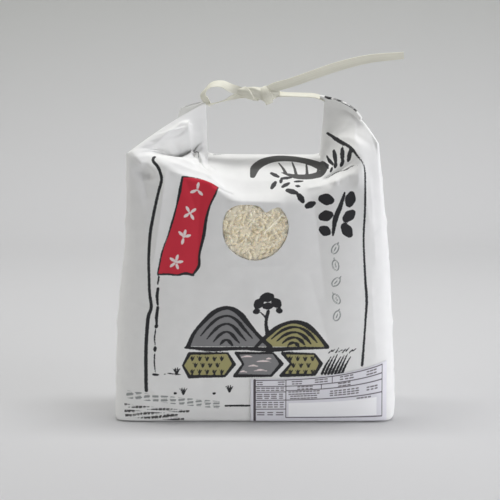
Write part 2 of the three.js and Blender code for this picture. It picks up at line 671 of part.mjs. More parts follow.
const group = new THREE.Group();
group.add(named('sack', geometryOf(sack), 0xe9e8e6, 0.75));
group.add(named('rice_in_window', geometryOf(riceHeap()), 0xd8cbab, 0.5));
group.add(named('window_film', film, 0xf4f4f0, 0.15, 0.3));
group.add(named('label', labelShape(), 0xf1f1f3, 0.6));
group.add(named('tie', geometryOf(tieShape()), 0xd9d8c6, 0.7));

export default group;
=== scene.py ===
# %% [markdown]
# # A paper rice sack
#
# The object is a filled sack of white paper. It stands on a flat base, its mouth is rolled into a
# flat band, and a paper tape ties the two ends of that band above the middle, which leaves a gap
# to carry it by. A clear window shows the rice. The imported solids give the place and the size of
# everything, and each of them is replaced here by a finer piece that sits in the same space.
# Lengths are worked out in millimetres, as on the flat sheet of paper, and become metres at the end.

import math

import bpy
import numpy as np
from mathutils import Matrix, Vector


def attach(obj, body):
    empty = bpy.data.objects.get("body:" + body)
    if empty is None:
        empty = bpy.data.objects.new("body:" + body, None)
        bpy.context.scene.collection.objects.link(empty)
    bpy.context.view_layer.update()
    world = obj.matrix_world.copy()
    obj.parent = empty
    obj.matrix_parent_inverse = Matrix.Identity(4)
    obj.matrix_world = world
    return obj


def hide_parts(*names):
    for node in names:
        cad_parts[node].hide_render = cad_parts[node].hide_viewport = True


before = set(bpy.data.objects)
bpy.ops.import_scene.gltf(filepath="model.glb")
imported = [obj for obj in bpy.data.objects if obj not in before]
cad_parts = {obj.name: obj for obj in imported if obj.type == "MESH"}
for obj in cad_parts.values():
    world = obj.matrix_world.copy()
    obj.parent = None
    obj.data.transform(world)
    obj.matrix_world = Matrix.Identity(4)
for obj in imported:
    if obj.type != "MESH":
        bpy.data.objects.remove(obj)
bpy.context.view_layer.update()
MM = 0.001
print("nodes:", sorted(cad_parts))

# %% [markdown]
# ## The camera
#
# The photograph looks at the front from a little above, with a long lens, so upright edges stay
# nearly parallel. The camera stands one metre away and looks down by ten degrees.

# %% Camera
bpy.ops.object.camera_add(
    location=(-0.0034, -0.9848, 0.2956), rotation=(math.radians(80.06), 0, 0)
)
camera = bpy.context.object
camera.name = camera.data.name = "camera"
camera.data.lens = 96
camera.data.sensor_width = 36
bpy.context.scene.camera = camera
bpy.context.scene.view_settings.view_transform = "Standard"
print("camera at", tuple(round(v, 3) for v in camera.location))

# %% [markdown]
# ## Small helpers
#
# Almost everything on a paper sack is a sheet: the body, the rolled band, the film, the label and
# the tape. A sheet starts as Blender's flat grid. The helper adds the grid and tells for each of
# its corners which column and row it is in, and a second one moves the corners to their places
# along the real surface. Bending a grid by hand tools would need hundreds of moves for one
# soft shoulder, so the surface itself is written as a function and the grid is laid on it.

# %% Helpers for grids
def deselect():
    if bpy.context.object and bpy.context.object.mode != "OBJECT":
        bpy.ops.object.mode_set(mode="OBJECT")
    bpy.ops.object.select_all(action="DESELECT")


def pick(piece):
    """Leaves only this piece selected, and active."""
    deselect()
    piece.select_set(True)
    bpy.context.view_layer.objects.active = piece


def new_grid(name, columns, rows):
    """A flat grid with its column and row numbers, one for each corner."""
    deselect()
    bpy.ops.mesh.primitive_grid_add(x_subdivisions=columns, y_subdivisions=rows, size=2)
    piece = bpy.context.object
    piece.name = piece.data.name = name
    at = places(piece)
    column = np.rint((at[:, 0] + 1) / 2 * columns).astype(int)
    row = np.rint((at[:, 1] + 1) / 2 * rows).astype(int)
    return piece, column, row


def places(piece):
    """Every corner's place, in the mesh's own units."""
    flat = np.empty(3 * len(piece.data.vertices))
    piece.data.vertices.foreach_get("co", flat)
    return flat.reshape(-1, 3)


def put(piece, points):
    """Moves the corners to points given in millimetres."""
    piece.data.vertices.foreach_set("co", (points * MM).ravel())
    piece.data.update()


def lay_map(piece, across, up, name="sheet"):
    """Writes the sheet's own flat coordinates, in metres, into the UV map."""
    layer = piece.data.uv_layers[0]
    layer.name = name
    corner = np.empty(len(piece.data.loops), int)
    piece.data.loops.foreach_get("vertex_index", corner)
    flat = np.stack([across[corner], up[corner]], 1) * MM
    layer.data.foreach_set("uv", flat.ravel())


# %% [markdown]
# ## Helpers that finish a mesh
#
# A grid that was rolled up still has edges lying on each other, and paper has a thickness.
# Welding joins such edges, modifiers give thickness or cut a hole, and smooth shading up to an
# angle keeps the folds crisp. These are the moves of modelling by hand, kept for every sheet.

# %% Weld, modify and shade
WELD_DISTANCE, FOLD_ANGLE = 1e-6, 50


def weld(piece):
    """Joins corners that lie on each other and turns every face outward."""
    pick(piece)
    bpy.ops.object.mode_set(mode="EDIT")
    bpy.ops.mesh.select_all(action="SELECT")
    bpy.ops.mesh.remove_doubles(threshold=WELD_DISTANCE)
    bpy.ops.mesh.normals_make_consistent(inside=False)
    bpy.ops.object.mode_set(mode="OBJECT")


def apply(piece, kind, **settings):
    """Adds one modifier and applies it."""
    pick(piece)
    modifier = piece.modifiers.new(kind.lower(), kind)
    for key, value in settings.items():
        setattr(modifier, key, value)
    bpy.ops.object.modifier_apply(modifier=modifier.name)


def smooth_faces(piece, degrees=180):
    pick(piece)
    bpy.ops.object.shade_smooth_by_angle(angle=math.radians(degrees))


# %% [markdown]
# ## Helpers for smooth curves
#
# Soft outlines are kept as short tables of measured points. A curve through the points gives all
# values between them. It is level at its two ends and beyond, so a table can't run away there.

# %% Curves and easing
def curve(rows, at):
    """Smooth curve through the rows of a table, flat beyond its two ends."""
    x, y = np.array(rows, float).T
    before = np.maximum(np.arange(len(x)) - 1, 0)
    after = np.minimum(np.arange(len(x)) + 1, len(x) - 1)
    slope = (y[after] - y[before]) / (x[after] - x[before])
    at = np.clip(at, x[0], x[-1])
    i = np.clip(np.searchsorted(x, at) - 1, 0, len(x) - 2)
    step = x[i + 1] - x[i]
    t = (at - x[i]) / step
    eased = y[i] + (y[i + 1] - y[i]) * t * t * (3 - 2 * t)
    return eased + t * (1 - t) * ((1 - t) * slope[i] - t * slope[i + 1]) * step


def ease(x, start, end):
    """From 0 at the start to 1 at the end, soft at both."""
    t = np.clip((x - start) / (end - start), 0, 1)
    return t * t * (3 - 2 * t)


# %% [markdown]
# ## The filled body
#
# Filled with rice, the body is a soft box: its plan is a rectangle with round corners, and the
# corners get rounder away from the base. A superellipse gives that plan with one number, the
# power, and tables against the height give the width and the depth.

# %% Tables of the body, in millimetres
LEFT_HALF = [
    (0, 100.5), (0.8, 102.8), (3, 104), (14, 104.4), (55, 103.6), (92, 100.8), (128, 96.6),
    (165, 96.6), (205, 97.6),
]
RIGHT_HALF = [
    (0, 99.5), (0.8, 101.8), (3.4, 104), (16, 105.5), (60, 103.8), (107, 100.8), (152, 98),
    (178, 96.4), (208, 94),
]
FRONT_HALF = [
    (0, 30), (0.5, 34), (1.4, 36), (5, 36.4), (12, 36.6), (20, 36.8), (60, 37.6), (110, 38.5),
    (150, 38.5), (172, 37), (205, 30),
]
BACK_HALF = [
    (0, 28), (0.8, 31.6), (2, 33.6), (4.4, 34.8), (12, 35.6), (20, 36), (60, 36.4), (110, 36.4),
    (150, 35), (172, 33), (205, 27),
]
CORNER_POWER = [(0, 15), (5, 10), (16, 6.4), (50, 4.5), (90, 4.3), (190, 7)]
EDGE_SHARE, SHEET_HALF, GUSSET_HALF = 0.93, 93, 35
GUSSET_FOLD, FOLD_START, FOLD_END = 17, 105, 205
print("the tube is", 4 * (SHEET_HALF + GUSSET_HALF), "mm round")


# %% Front, back and sides of the body
def body_sheet(u, z, half, sign):
    """Point of the front or back: u across from -1 to 1, z up."""
    p = EDGE_SHARE * u
    width = np.where(u < 0, curve(LEFT_HALF, z), curve(RIGHT_HALF, z))
    power = curve(CORNER_POWER, z)
    y = sign * curve(half, z) * (1 - np.abs(p) ** power) ** (1 / power)
    return np.stack([p * width, y, z], -1)


def body_gusset(side, w, z):
    """Point of a side: w from -1 at the front to 1 at the back, folded inward near the top."""
    power = curve(CORNER_POWER, z)
    q = w * (1 - EDGE_SHARE ** power) ** (1 / power)
    width = curve(LEFT_HALF if side < 0 else RIGHT_HALF, z)
    half = np.where(w < 0, curve(FRONT_HALF, z), curve(BACK_HALF, z))
    fold = GUSSET_FOLD * ease(z, FOLD_START, FOLD_END) ** 1.3 * (1 - np.abs(w))
    x = width * (1 - np.abs(q) ** power) ** (1 / power) - fold
    return np.stack([side * x, q * half, z], -1)


# %% [markdown]
# ## The shoulder and the horns
#
# Above the rice the sheet folds back: a crease runs across the front, and from it the paper
# slopes to the crest, which goes up the left horn, along the middle and up the right horn. The
# line of the crease and the crest are measured, and the paper between them is a ruled surface
# with a soft turn, which is how a flat sheet really bends.

# %% Crease, crest and horns
FRONT_EDGE = [
    (-1, 199), (-0.82, 196.5), (-0.66, 188), (-0.55, 182.5), (-0.35, 178.5), (-0.24, 171.5),
    (-0.12, 167), (0, 165.5), (0.15, 166.5), (0.35, 172), (0.52, 175.5), (0.66, 180), (0.78, 187),
    (0.88, 197), (1, 206),
]
BACK_EDGE = [(-1, 195), (-0.6, 184), (-0.3, 174), (0.3, 173), (0.6, 184), (1, 202)]
FRONT_TURN = [
    (-1, 3), (-0.3, 3), (-0.12, 6), (0.1, 7), (0.3, 10), (0.45, 14), (0.65, 6), (0.85, 8), (1, 12),
]
CREST_LEFT, CREST_RIGHT = np.array([(-35, 10, 194), (49, 10, 193.5)])
TIP_LEFT, TIP_RIGHT = np.array([(-36, 4, 233), (51.5, 3, 234)])
CREST_THICK = 1.2
HORN_SWELL_LEFT, HORN_SWELL_RIGHT, SWELL_OUT, SWELL_UP = 1.5, 6.5, 0.45, 0.9


def crest(u):
    """Line that the sheet ends on."""
    left, right = CREST_LEFT[0] / SHEET_HALF, CREST_RIGHT[0] / SHEET_HALF
    on_left = np.clip((left - u) / (left + 1), 0, 1)[..., None]
    on_right = np.clip((u - right) / (1 - right), 0, 1)[..., None]
    middle = np.clip((u - left) / (right - left), 0, 1)[..., None]
    line = CREST_LEFT + (CREST_RIGHT - CREST_LEFT) * middle
    return line + (TIP_LEFT - CREST_LEFT) * on_left + (TIP_RIGHT - CREST_RIGHT) * on_right


def past_turn(d, radius):
    """How far the sheet has gone up the slope at distance d, with a soft start round d = 0."""
    return np.where(np.abs(d) < radius, (d + radius) ** 2 / (4 * radius), np.maximum(d, 0))


def bow(point, side, share, weight):
    """The outer part of each horn swells a little past the straight line."""
    lift = np.where(side < 0, HORN_SWELL_LEFT, HORN_SWELL_RIGHT) * np.sin(np.pi * share) * weight
    point[..., 0] += SWELL_OUT * side * lift
    point[..., 2] += SWELL_UP * lift
    return point


# %% [markdown]
# ## Creases
#
# Paper that was folded and filled keeps creases. Each is a line on the flat sheet with a depth
# and a half width, so a table of lines gives them all. The large ones are in the solids too, and
# the small ones below them are the wrinkles that only this finer sheet can hold.

# %% Tables of creases of the front
# Each is from, to, depth outward, half width. Two half widths are for its left and its right.
CREASES = [
    ((-76, 207), (-64, 218), -19, 20), ((-84, 212), (-84, 240), 4, 9),
    ((-60.5, 216.5), (-78, 239), 8.5, (12, 3)), ((-76, 211.5), (-64, 222), -8, (14, 4)),
    ((90, 230), (78, 202), 5, 17), ((78, 202), (77, 178), 2.4, 13),
    ((-68, 196), (-33, 188), 2.5, 11), ((-84, 184), (-80, 168), -3.2, 12),
    ((-66, 184), (-76, 120), 1.6, 13), ((54, 184), (74, 193), -5, 10),
    ((58, 232), (82, 206), 3.2, 13), ((60, 203), (66, 216), -3, 11), ((80, 190), (84, 150), 2, 12),
    ((-40, 172), (-44, 112), -1.2, 18), ((44, 164), (50, 96), -1.2, 20),
    ((-96, 30), (-66, 14), -1.6, 12), ((-90, 44), (-70, 22), 1.4, 9),
]
WRINKLES = [
    # Small folds where the left horn's foot meets the crest.
    ((-55, 216), (-43, 206), 1.1, 3.5), ((-50, 210), (-40, 199), -0.9, 3),
    ((-44, 215), (-33, 204), 0.9, 3.5), ((-38, 213), (-30, 198), -0.8, 3),
    ((-56, 206), (-44, 196), -0.7, 4), ((-47, 203), (-36, 194), 0.6, 3),
    # Upper edge of the left horn and its facet.
    ((-77, 221), (-72, 219), -1.6, 3), ((-80, 216), (-70, 224), 1.2, 3),
    ((-72, 197), (-62, 205), 1.2, 4), ((-66, 213), (-58, 222), 0.8, 3),
    ((-90, 196), (-74, 198), 1.1, 4), ((-88, 191), (-77, 184), -2.0, 6),
    ((-92, 200), (-84, 192), 3.6, 6), ((-91, 187), (-78, 183), -3.4, 7),
    ((-88, 206), (-82, 214), -2.0, 4), ((-90, 222), (-78, 232), 2.2, 4),
    ((-86, 214), (-74, 220), -2.0, 4), ((-88, 214), (-76, 228), -1.4, 3),
    ((-84, 203), (-76, 210), 1.4, 3.5), ((-60, 216), (-47, 205), -2.2, 5),
    ((-52, 214), (-40, 207), 1.6, 3.5), ((-46, 205), (-36, 196), -1.2, 3.5),
    ((-68, 203), (-50, 198), 1.4, 6), ((-78, 192), (-73, 184), 0.7, 3.5),
    ((-34, 187), (-24, 178), 0.9, 4), ((-30, 176), (-17, 171), -1.0, 2.5),
    ((-60, 186), (-48, 184), 0.5, 4), ((-50, 178), (-44, 160), -0.5, 7),
    # Margins.
    ((-93, 91), (-75, 86), 0.7, 3), ((-93, 84), (-80, 82), -0.4, 4),
    ((-88, 150), (-84, 110), -0.7, 6), ((-84, 170), (-82, 130), 0.5, 5),
    ((-90, 60), (-84, 36), -0.5, 6), ((-70, 60), (-74, 30), 0.4, 8),
    ((93, 147), (87, 141), -1.0, 4), ((93, 137), (88, 133), 0.6, 3), ((93, 103), (87, 99), -0.9, 4),
    ((93, 92), (89, 88), 0.5, 3), ((93, 69), (86, 66), -0.6, 4), ((86, 180), (88, 120), 0.8, 5),
    ((84, 100), (86, 50), 0.6, 6),
    # Round the right shoulder and horn.
    ((41, 177), (60, 180), 1.3, 5), ((60, 180), (73, 185), 1.5, 5), ((63, 178), (66, 184), -0.5, 2),
    ((56, 176), (59, 181), -0.4, 2), ((70, 181), (73, 187), -0.5, 2),
    ((53, 186), (63, 189), -0.8, 2.5), ((63, 189), (78, 191), -0.8, 2.5),
    ((72, 216), (78, 200), 0.8, 4), ((80, 222), (88, 229), 0.9, 4), ((84, 212), (90, 205), -0.8, 5),
    ((66, 226), (78, 228), -0.7, 4), ((79, 237), (86, 226), 0.7, 4),
    # Soft swells of the rice against the front and the edge of the window.
    ((-12, 196), (30, 199), 0.8, 9), ((-10, 168), (-18, 130), 0.5, 9),
    ((-16, 166), (18, 165), 1.3, 8), ((-2, 100), (8, 60), 0.6, 18), ((40, 110), (52, 60), -0.5, 14),
    ((-44, 70), (-36, 30), -0.5, 14), ((20, 118), (-16, 117), 0.5, 6),
]
print("front:", len(CREASES), "creases and", len(WRINKLES), "wrinkles")

# %% Tables of creases of the back and the sides
BACK_CREASES = [
    # Fold lines of the block bottom, then folds that run in from the corners and the shoulder.
    ((-93, 35), (93, 35), -0.6, 3), ((-93, 35), (-62, 4), -0.9, 4), ((93, 35), (62, 4), -0.9, 4),
    ((-84, 190), (-72, 130), -2.2, 13), ((86, 196), (74, 128), -2.4, 14),
    ((-60, 184), (-20, 168), 2.2, 12), ((58, 186), (22, 168), 2.2, 12),
    ((-70, 120), (-66, 60), 1.4, 16), ((68, 116), (64, 56), 1.4, 16),
    ((-40, 176), (-30, 140), -1.6, 12), ((38, 178), (30, 146), -1.4, 11),
    ((-92, 96), (-72, 90), -0.9, 4), ((92, 110), (76, 104), -0.8, 4),
    ((-90, 62), (-78, 70), 0.8, 5), ((90, 76), (74, 84), 0.8, 5), ((-20, 120), (14, 112), 0.9, 22),
    ((-34, 84), (-10, 60), 0.9, 18), ((20, 88), (40, 66), 0.8, 18), ((-80, 30), (-70, 16), 0.8, 7),
    ((80, 28), (72, 14), 0.8, 7), ((-10, 160), (16, 158), 0.8, 8),
]
SIDE_CREASES = [
    # The side's own middle fold, the block bottom's folds and a few cross wrinkles.
    ((0, 84), (0, 205), -2.2, 5), ((-35, 35), (35, 35), -0.6, 3), ((-35, 35), (-6, 5), -0.9, 4),
    ((35, 35), (6, 5), -0.9, 4), ((0, 84), (-24, 50), -1.0, 8), ((0, 84), (24, 50), -1.0, 8),
    ((-30, 150), (-4, 140), 1.2, 7), ((28, 160), (4, 152), 1.2, 7),
    ((-32, 118), (-8, 122), -0.8, 4), ((30, 126), (10, 118), -0.8, 5),
    ((-28, 180), (-6, 172), 1.0, 6), ((-24, 70), (10, 78), 0.8, 9),
]
print("back:", len(BACK_CREASES), "creases, sides:", len(SIDE_CREASES))


# %% Depth that the creases give
def relief(x, h, creases):
    """Sum of the creases at a place of the flat sheet, in millimetres outward."""
    total = np.zeros_like(x)
    for (ax, ah), (bx, bh), depth, reach in creases:
        dx, dh = bx - ax, bh - ah
        t = np.clip(((x - ax) * dx + (h - ah) * dh) / (dx * dx + dh * dh), 0, 1)
        if isinstance(reach, tuple):
            reach = np.where(dx * (h - ah) > dh * (x - ax), *reach)
        away = np.minimum(np.hypot(x - ax - t * dx, h - ah - t * dh) / reach, 1)
        total += depth * (1 - away) ** 2
    return total


# %% [markdown]
# ## The walls of the sheet
#
# Each wall of the tube is one function that bends the flat paper: straight up the body, round the
# soft turn of the shoulder and on along the slope to the crest. The creases are added to it last,
# and fade towards the wall's edges, so that neighbouring walls meet in one line.

# %% Front
SHOULDER_SWELL, SWELL_MIDDLE, SWELL_REACH = 3.6, 0.08, 0.42


def front_point(u, row):
    """Row -1 to 0 is the body, 0 to 1 the shoulder up to the crest. Also gives the flat place."""
    edge = curve(FRONT_EDGE, u)
    low = body_sheet(u, edge, FRONT_HALF, -1)
    rise = crest(u) - low
    rise[..., 1] -= CREST_THICK / 2
    long = np.linalg.norm(rise, axis=-1)
    d = np.where(row < 0, row * edge, row * long)
    up = past_turn(d, curve(FRONT_TURN, u))
    share = up / long
    point = body_sheet(u, edge + d - up, FRONT_HALF, -1) + rise * share[..., None]
    across, height = SHEET_HALF * u, edge + d
    fade = (1 - u ** 8) * (1 - share ** 6)
    out = relief(across, height, CREASES + WRINKLES) * fade
    swell = SHOULDER_SWELL * np.sin(np.pi * share) * np.exp(-((u - SWELL_MIDDLE) / SWELL_REACH) ** 2)
    turn = np.minimum(3 * share, 1)
    point[..., 1] -= out * (1 - turn) + (0.55 * out + 0.4 * swell) * turn
    point[..., 2] += turn * (0.6 * out + 0.9 * swell)
    return bow(point, np.sign(u), share, ease(np.abs(u), 0.5, 1)), across, height


# %% Back and sides
BACK_TURN, SIDE_DIP, HORN_PAPER = 8, 5, 50


def back_point(u, row):
    """The same for the back, where u still counts from left to right as seen from the front."""
    edge = curve(BACK_EDGE, u)
    low = body_sheet(u, edge, BACK_HALF, 1)
    rise = crest(u) - low
    rise[..., 1] += CREST_THICK / 2
    long = np.linalg.norm(rise, axis=-1)
    d = np.where(row < 0, row * edge, row * long)
    up = past_turn(d, BACK_TURN)
    share = up / long
    point = body_sheet(u, edge + d - up, BACK_HALF, 1) + rise * share[..., None]
    out = relief(SHEET_HALF * u, edge + d, BACK_CREASES) * (1 - u ** 8) * (1 - share ** 6)
    point[..., 1] += out * (1 - 0.5 * share)
    point[..., 2] += 0.5 * out * share
    across = 2 * SHEET_HALF + 2 * GUSSET_HALF - SHEET_HALF * u
    return bow(point, np.sign(u), share, ease(np.abs(u), 0.5, 1)), across, edge + d


def gusset_point(side, w, row):
    """The same for a side, whose top runs together into the tip of the horn."""
    front, back = curve(FRONT_EDGE, side), curve(BACK_EDGE, side)
    edge = front + (back - front) * (w + 1) / 2 - SIDE_DIP * (1 - w * w)
    rest = np.where(row < 0, (1 + row) * edge, edge)
    low = body_gusset(side, w, rest)
    out = relief(GUSSET_HALF * w, rest, SIDE_CREASES) * (1 - w ** 6) * (1 - np.maximum(row, 0))
    low[..., 0] += side * out
    tip = np.zeros_like(low) + (TIP_LEFT if side < 0 else TIP_RIGHT)
    tip[..., 0] += side * CREST_THICK / 2 * (1 - w * w)
    tip[..., 1] += w * CREST_THICK / 2
    share = np.maximum(row, 0)
    point = bow(low + (tip - low) * share[..., None], side, share, 1)
    start = SHEET_HALF if side > 0 else 3 * SHEET_HALF + 2 * GUSSET_HALF
    along = w if side > 0 else -w
    height = (1 + np.minimum(row, 0)) * edge + share * HORN_PAPER
    return point, start + GUSSET_HALF * (along + 1), height


# %% [markdown]
# ## The paper of the sack
#
# The sack is one tube of paper: front, right side, back, left side. One grid goes once round it,
# with many columns on the printed front and few on the plain back. Its first and last rows lie
# on a middle line, so that welding closes the base and the crest without a separate cap.

# %% Columns and rows of the tube
FRONT_COLUMNS, BACK_COLUMNS, SIDE_COLUMNS = 240, 80, 20
BODY_ROWS, TOP_ROWS, BASE_FOLD = 180, 64, 35
front_u = np.linspace(-1, 1, FRONT_COLUMNS + 1)
back_u = np.linspace(1, -1, BACK_COLUMNS + 1)
side_w = np.sin(np.linspace(-1, 1, SIDE_COLUMNS + 2)[1:-1] * math.pi / 2)
columns = FRONT_COLUMNS + BACK_COLUMNS + 2 * SIDE_COLUMNS + 2
rows = np.concatenate([np.linspace(-1, 0, BODY_ROWS + 1), np.linspace(0, 1, TOP_ROWS + 1)[1:]])
print("tube:", columns, "columns,", len(rows), "rows")


# %% Rows that close the base and the crest
def snapped(u):
    """The nearest column of the back, where the front's closing row is welded to it."""
    return np.rint((u + 1) / 2 * BACK_COLUMNS) / BACK_COLUMNS * 2 - 1


def closing_row(at_base):
    """The middle line of the base or of the crest, once round."""
    def line(u):
        if not at_base:
            return crest(u)
        width = np.where(u < 0, LEFT_HALF[0][1], RIGHT_HALF[0][1])
        return np.stack([EDGE_SHARE * u * width, 0 * u, 0 * u], -1)

    front_line = line(snapped(front_u))
    right, left = (line(np.full(SIDE_COLUMNS, side)) for side in (1.0, -1.0))
    return np.concatenate([front_line, right, line(back_u), left, front_line[:1]])


# %% Roll the grid into the sack
def tube_points():
    """Places and flat coordinates of all rows, from the closing row of the base to the crest's."""
    walls = [front_point(*np.meshgrid(front_u, rows)), gusset_point(1, *np.meshgrid(side_w, rows)),
             back_point(*np.meshgrid(back_u, rows)), gusset_point(-1, *np.meshgrid(side_w[::-1], rows)),
             front_point(*np.meshgrid(front_u[:1], rows))]
    points, across, height = (np.concatenate(parts, 1) for parts in zip(*walls))
    across[:, -1] = 3 * SHEET_HALF + 4 * GUSSET_HALF
    points = np.concatenate([closing_row(True)[None], points, closing_row(False)[None]])
    across = np.concatenate([across[:1], across, across[-1:]])
    height = np.concatenate([height[:1] - BASE_FOLD, height, height[-1:] + 1])
    return points, across, height


sack, column, row = new_grid("sack_paper", columns, len(rows) + 1)
tube, flat_across, flat_up = tube_points()
put(sack, tube[row, column])
lay_map(sack, flat_across[row, column], flat_up[row, column])
weld(sack)
print("sack paper:", len(sack.data.vertices), "corners,", len(sack.data.polygons), "faces")

# %% [markdown]
# ## The window
#
# The window is punched through the paper, in the shape of a plump heart. It is cut with a Boolean
# from a cutter that follows the front, because that keeps the paper's smooth surface up to a
# clean edge. The pocket behind it holds the film and the rice.

# %% Shape of the window
WINDOW_X, WINDOW_Z = 0.5, 143
WINDOW_OUTLINE = [
    (-180, 23.6), (-150, 22.6), (-120, 21.4), (-90, 21), (-60, 20.9), (-30, 21.8), (0, 23.6),
    (22, 24.8), (38, 24.8), (47, 24.2), (54, 20), (61, 15.9), (70, 16.5), (82, 18.4), (96, 19.4),
    (112, 21), (128, 23.6), (142, 25), (160, 24.5), (180, 23.6),
]
WINDOW_SPOKES, POCKET_DEEP, CUTTER_OUT = 144, 7.5, 6


def window_radius(angle):
    return curve(WINDOW_OUTLINE, np.degrees(np.arctan2(np.sin(angle), np.cos(angle))))


def front_at(x, z, inward):
    """Point of the front face at x and z, and how far in it lies."""
    width = np.where(x < 0, curve(LEFT_HALF, z), curve(RIGHT_HALF, z))
    power = curve(CORNER_POWER, z)
    y = -curve(FRONT_HALF, z) * (1 - (np.abs(x) / width) ** power) ** (1 / power)
    across = x / width / EDGE_SHARE * SHEET_HALF
    return np.stack([x, y - relief(across, z, CREASES + WRINKLES) + inward, z], -1)


print("window:", 2 * WINDOW_OUTLINE[0][1], "mm wide at its middle")


# %% A disc with the window's shape
def window_disc(name, spokes, circles, depth_of, grow=0.0):
    """A disc with the window's outline. depth_of gives the depth from x, z and the share outward."""
    piece, column, row = new_grid(name, spokes, circles)
    angle = 2 * math.pi * column / spokes
    radius = (window_radius(angle) + grow) * row / circles
    x, z = WINDOW_X + radius * np.cos(angle), WINDOW_Z + radius * np.sin(angle)
    put(piece, front_at(x, z, depth_of(x, z, row / circles)))
    lay_map(piece, x, z)
    weld(piece)
    return piece


# %% Cut the pocket
cutter = window_disc("window_cutter", WINDOW_SPOKES, 1, lambda x, z, share: 0 * x - CUTTER_OUT)
pick(cutter)
bpy.ops.object.mode_set(mode="EDIT")
bpy.ops.mesh.select_all(action="SELECT")
bpy.ops.mesh.extrude_region_move(
    TRANSFORM_OT_translate={"value": (0, (CUTTER_OUT + POCKET_DEEP) * MM, 0)}
)
bpy.ops.mesh.select_all(action="SELECT")
bpy.ops.mesh.normals_make_consistent(inside=False)
bpy.ops.object.mode_set(mode="OBJECT")
apply(sack, "BOOLEAN", operation="DIFFERENCE", solver="EXACT", object=cutter)
bpy.data.objects.remove(cutter)
smooth_faces(sack, FOLD_ANGLE)
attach(sack, "root")
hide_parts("sack")
print("sack with window:", len(sack.data.polygons), "faces")

# %% [markdown]
# ## The print
#
# The front is printed in seven flat inks with brushed edges. A picture file isn't used: for each
# ink, every corner of the fine front grid stores how far it lies from the edge of the ink, in
# millimetres, less than nothing inside. The material turns that distance into a crisp edge at any
# zoom. Strokes are lines with a width at each point, and fields are closed outlines. The motifs
# are plain ones: a hanging banner, grains, an ear of rice, hills with fields, tufts of grass.

# %% Ink fields
FAR = 6.0


def rounded_line(points, closed=False, per=6):
    """The same line with smooth corners."""
    points = [*points, points[0]] if closed else list(points)
    index = np.arange(len(points))
    t = np.linspace(0, len(points) - 1, (len(points) - 1) * per + 1)
    return np.stack([curve(list(zip(index, [p[k] for p in points])), t) for k in (0, 1)], -1)


def distance_to(line, halves, place):
    """Distance from each place to a line that is as wide as its halves say."""
    best = np.full(len(place), FAR)
    for (x0, h0), (x1, h1), r0, r1 in zip(line[:-1], line[1:], halves[:-1], halves[1:]):
        dx, dh = x1 - x0, h1 - h0
        long = max(dx * dx + dh * dh, 1e-9)
        t = np.clip(((place[:, 0] - x0) * dx + (place[:, 1] - h0) * dh) / long, 0, 1)
        away = np.hypot(place[:, 0] - x0 - t * dx, place[:, 1] - h0 - t * dh)
        best = np.minimum(best, away - r0 - (r1 - r0) * t)
    return best


# %% A printed sheet
class Print:
    """The inks on one sheet, each a distance from its edge stored on every corner."""

    def __init__(self, piece, *inks):
        self.piece = piece
        corner = np.empty(len(piece.data.loops), int)
        piece.data.loops.foreach_get("vertex_index", corner)
        flat = np.empty(2 * len(corner))
        piece.data.uv_layers["sheet"].data.foreach_get("uv", flat)
        self.place = np.zeros((len(piece.data.vertices), 2))
        self.place[corner] = flat.reshape(-1, 2) / MM
        self.fields = {ink: np.full(len(self.place), FAR) for ink in inks}

    def near(self, line):
        low, high = line.min(0) - FAR, line.max(0) + FAR
        return np.where(((self.place > low) & (self.place < high)).all(1))[0]

    def lay(self, ink, where, distance):
        self.fields[ink][where] = np.minimum(self.fields[ink][where], distance)

    def stroke(self, ink, points, widths, smooth=True):
        """A brush stroke along points. widths is one number or several, spread along it."""
        line = rounded_line(points) if smooth else np.array(points, float)
        widths = np.atleast_1d(widths)
        halves = np.interp(np.linspace(0, 1, len(line)), np.linspace(0, 1, len(widths)), widths / 2)
        where = self.near(line)
        self.lay(ink, where, distance_to(line, halves, self.place[where]))

    def field(self, ink, outline, smooth=False):
        """A closed area of ink."""
        line = rounded_line(outline, closed=True) if smooth else np.array([*outline, outline[0]], float)
        where = self.near(line)
        place = self.place[where]
        away = distance_to(line, np.zeros(len(line)), place)
        inside = np.zeros(len(place), bool)
        for (x0, h0), (x1, h1) in zip(line[:-1], line[1:]):
            crosses = (h0 > place[:, 1]) != (h1 > place[:, 1])
            with np.errstate(divide="ignore", invalid="ignore"):
                inside ^= crosses & (place[:, 0] < x0 + (place[:, 1] - h0) / (h1 - h0) * (x1 - x0))
        self.lay(ink, where, np.where(inside, -away, away))

    def grain(self, ink, x, h, long, wide, degrees):
        """One plump grain or dab, round at both ends."""
        half, turn = (long - wide) / 2, math.radians(degrees)
        c, s = math.cos(turn) * half, math.sin(turn) * half
        self.stroke(ink, [(x - c, h - s), (x, h), (x + c, h + s)], [wide * 0.72, wide, wide * 0.62])

    def store(self):
        for ink, distance in self.fields.items():
            layer = self.piece.data.attributes.new("ink_" + ink, "FLOAT", "POINT")
            layer.data.foreach_set("value", distance)
        print(self.piece.name, "inks:", *self.fields)


front = Print(sack, "red", "pale", "black", "grey", "faint", "slate", "khaki")

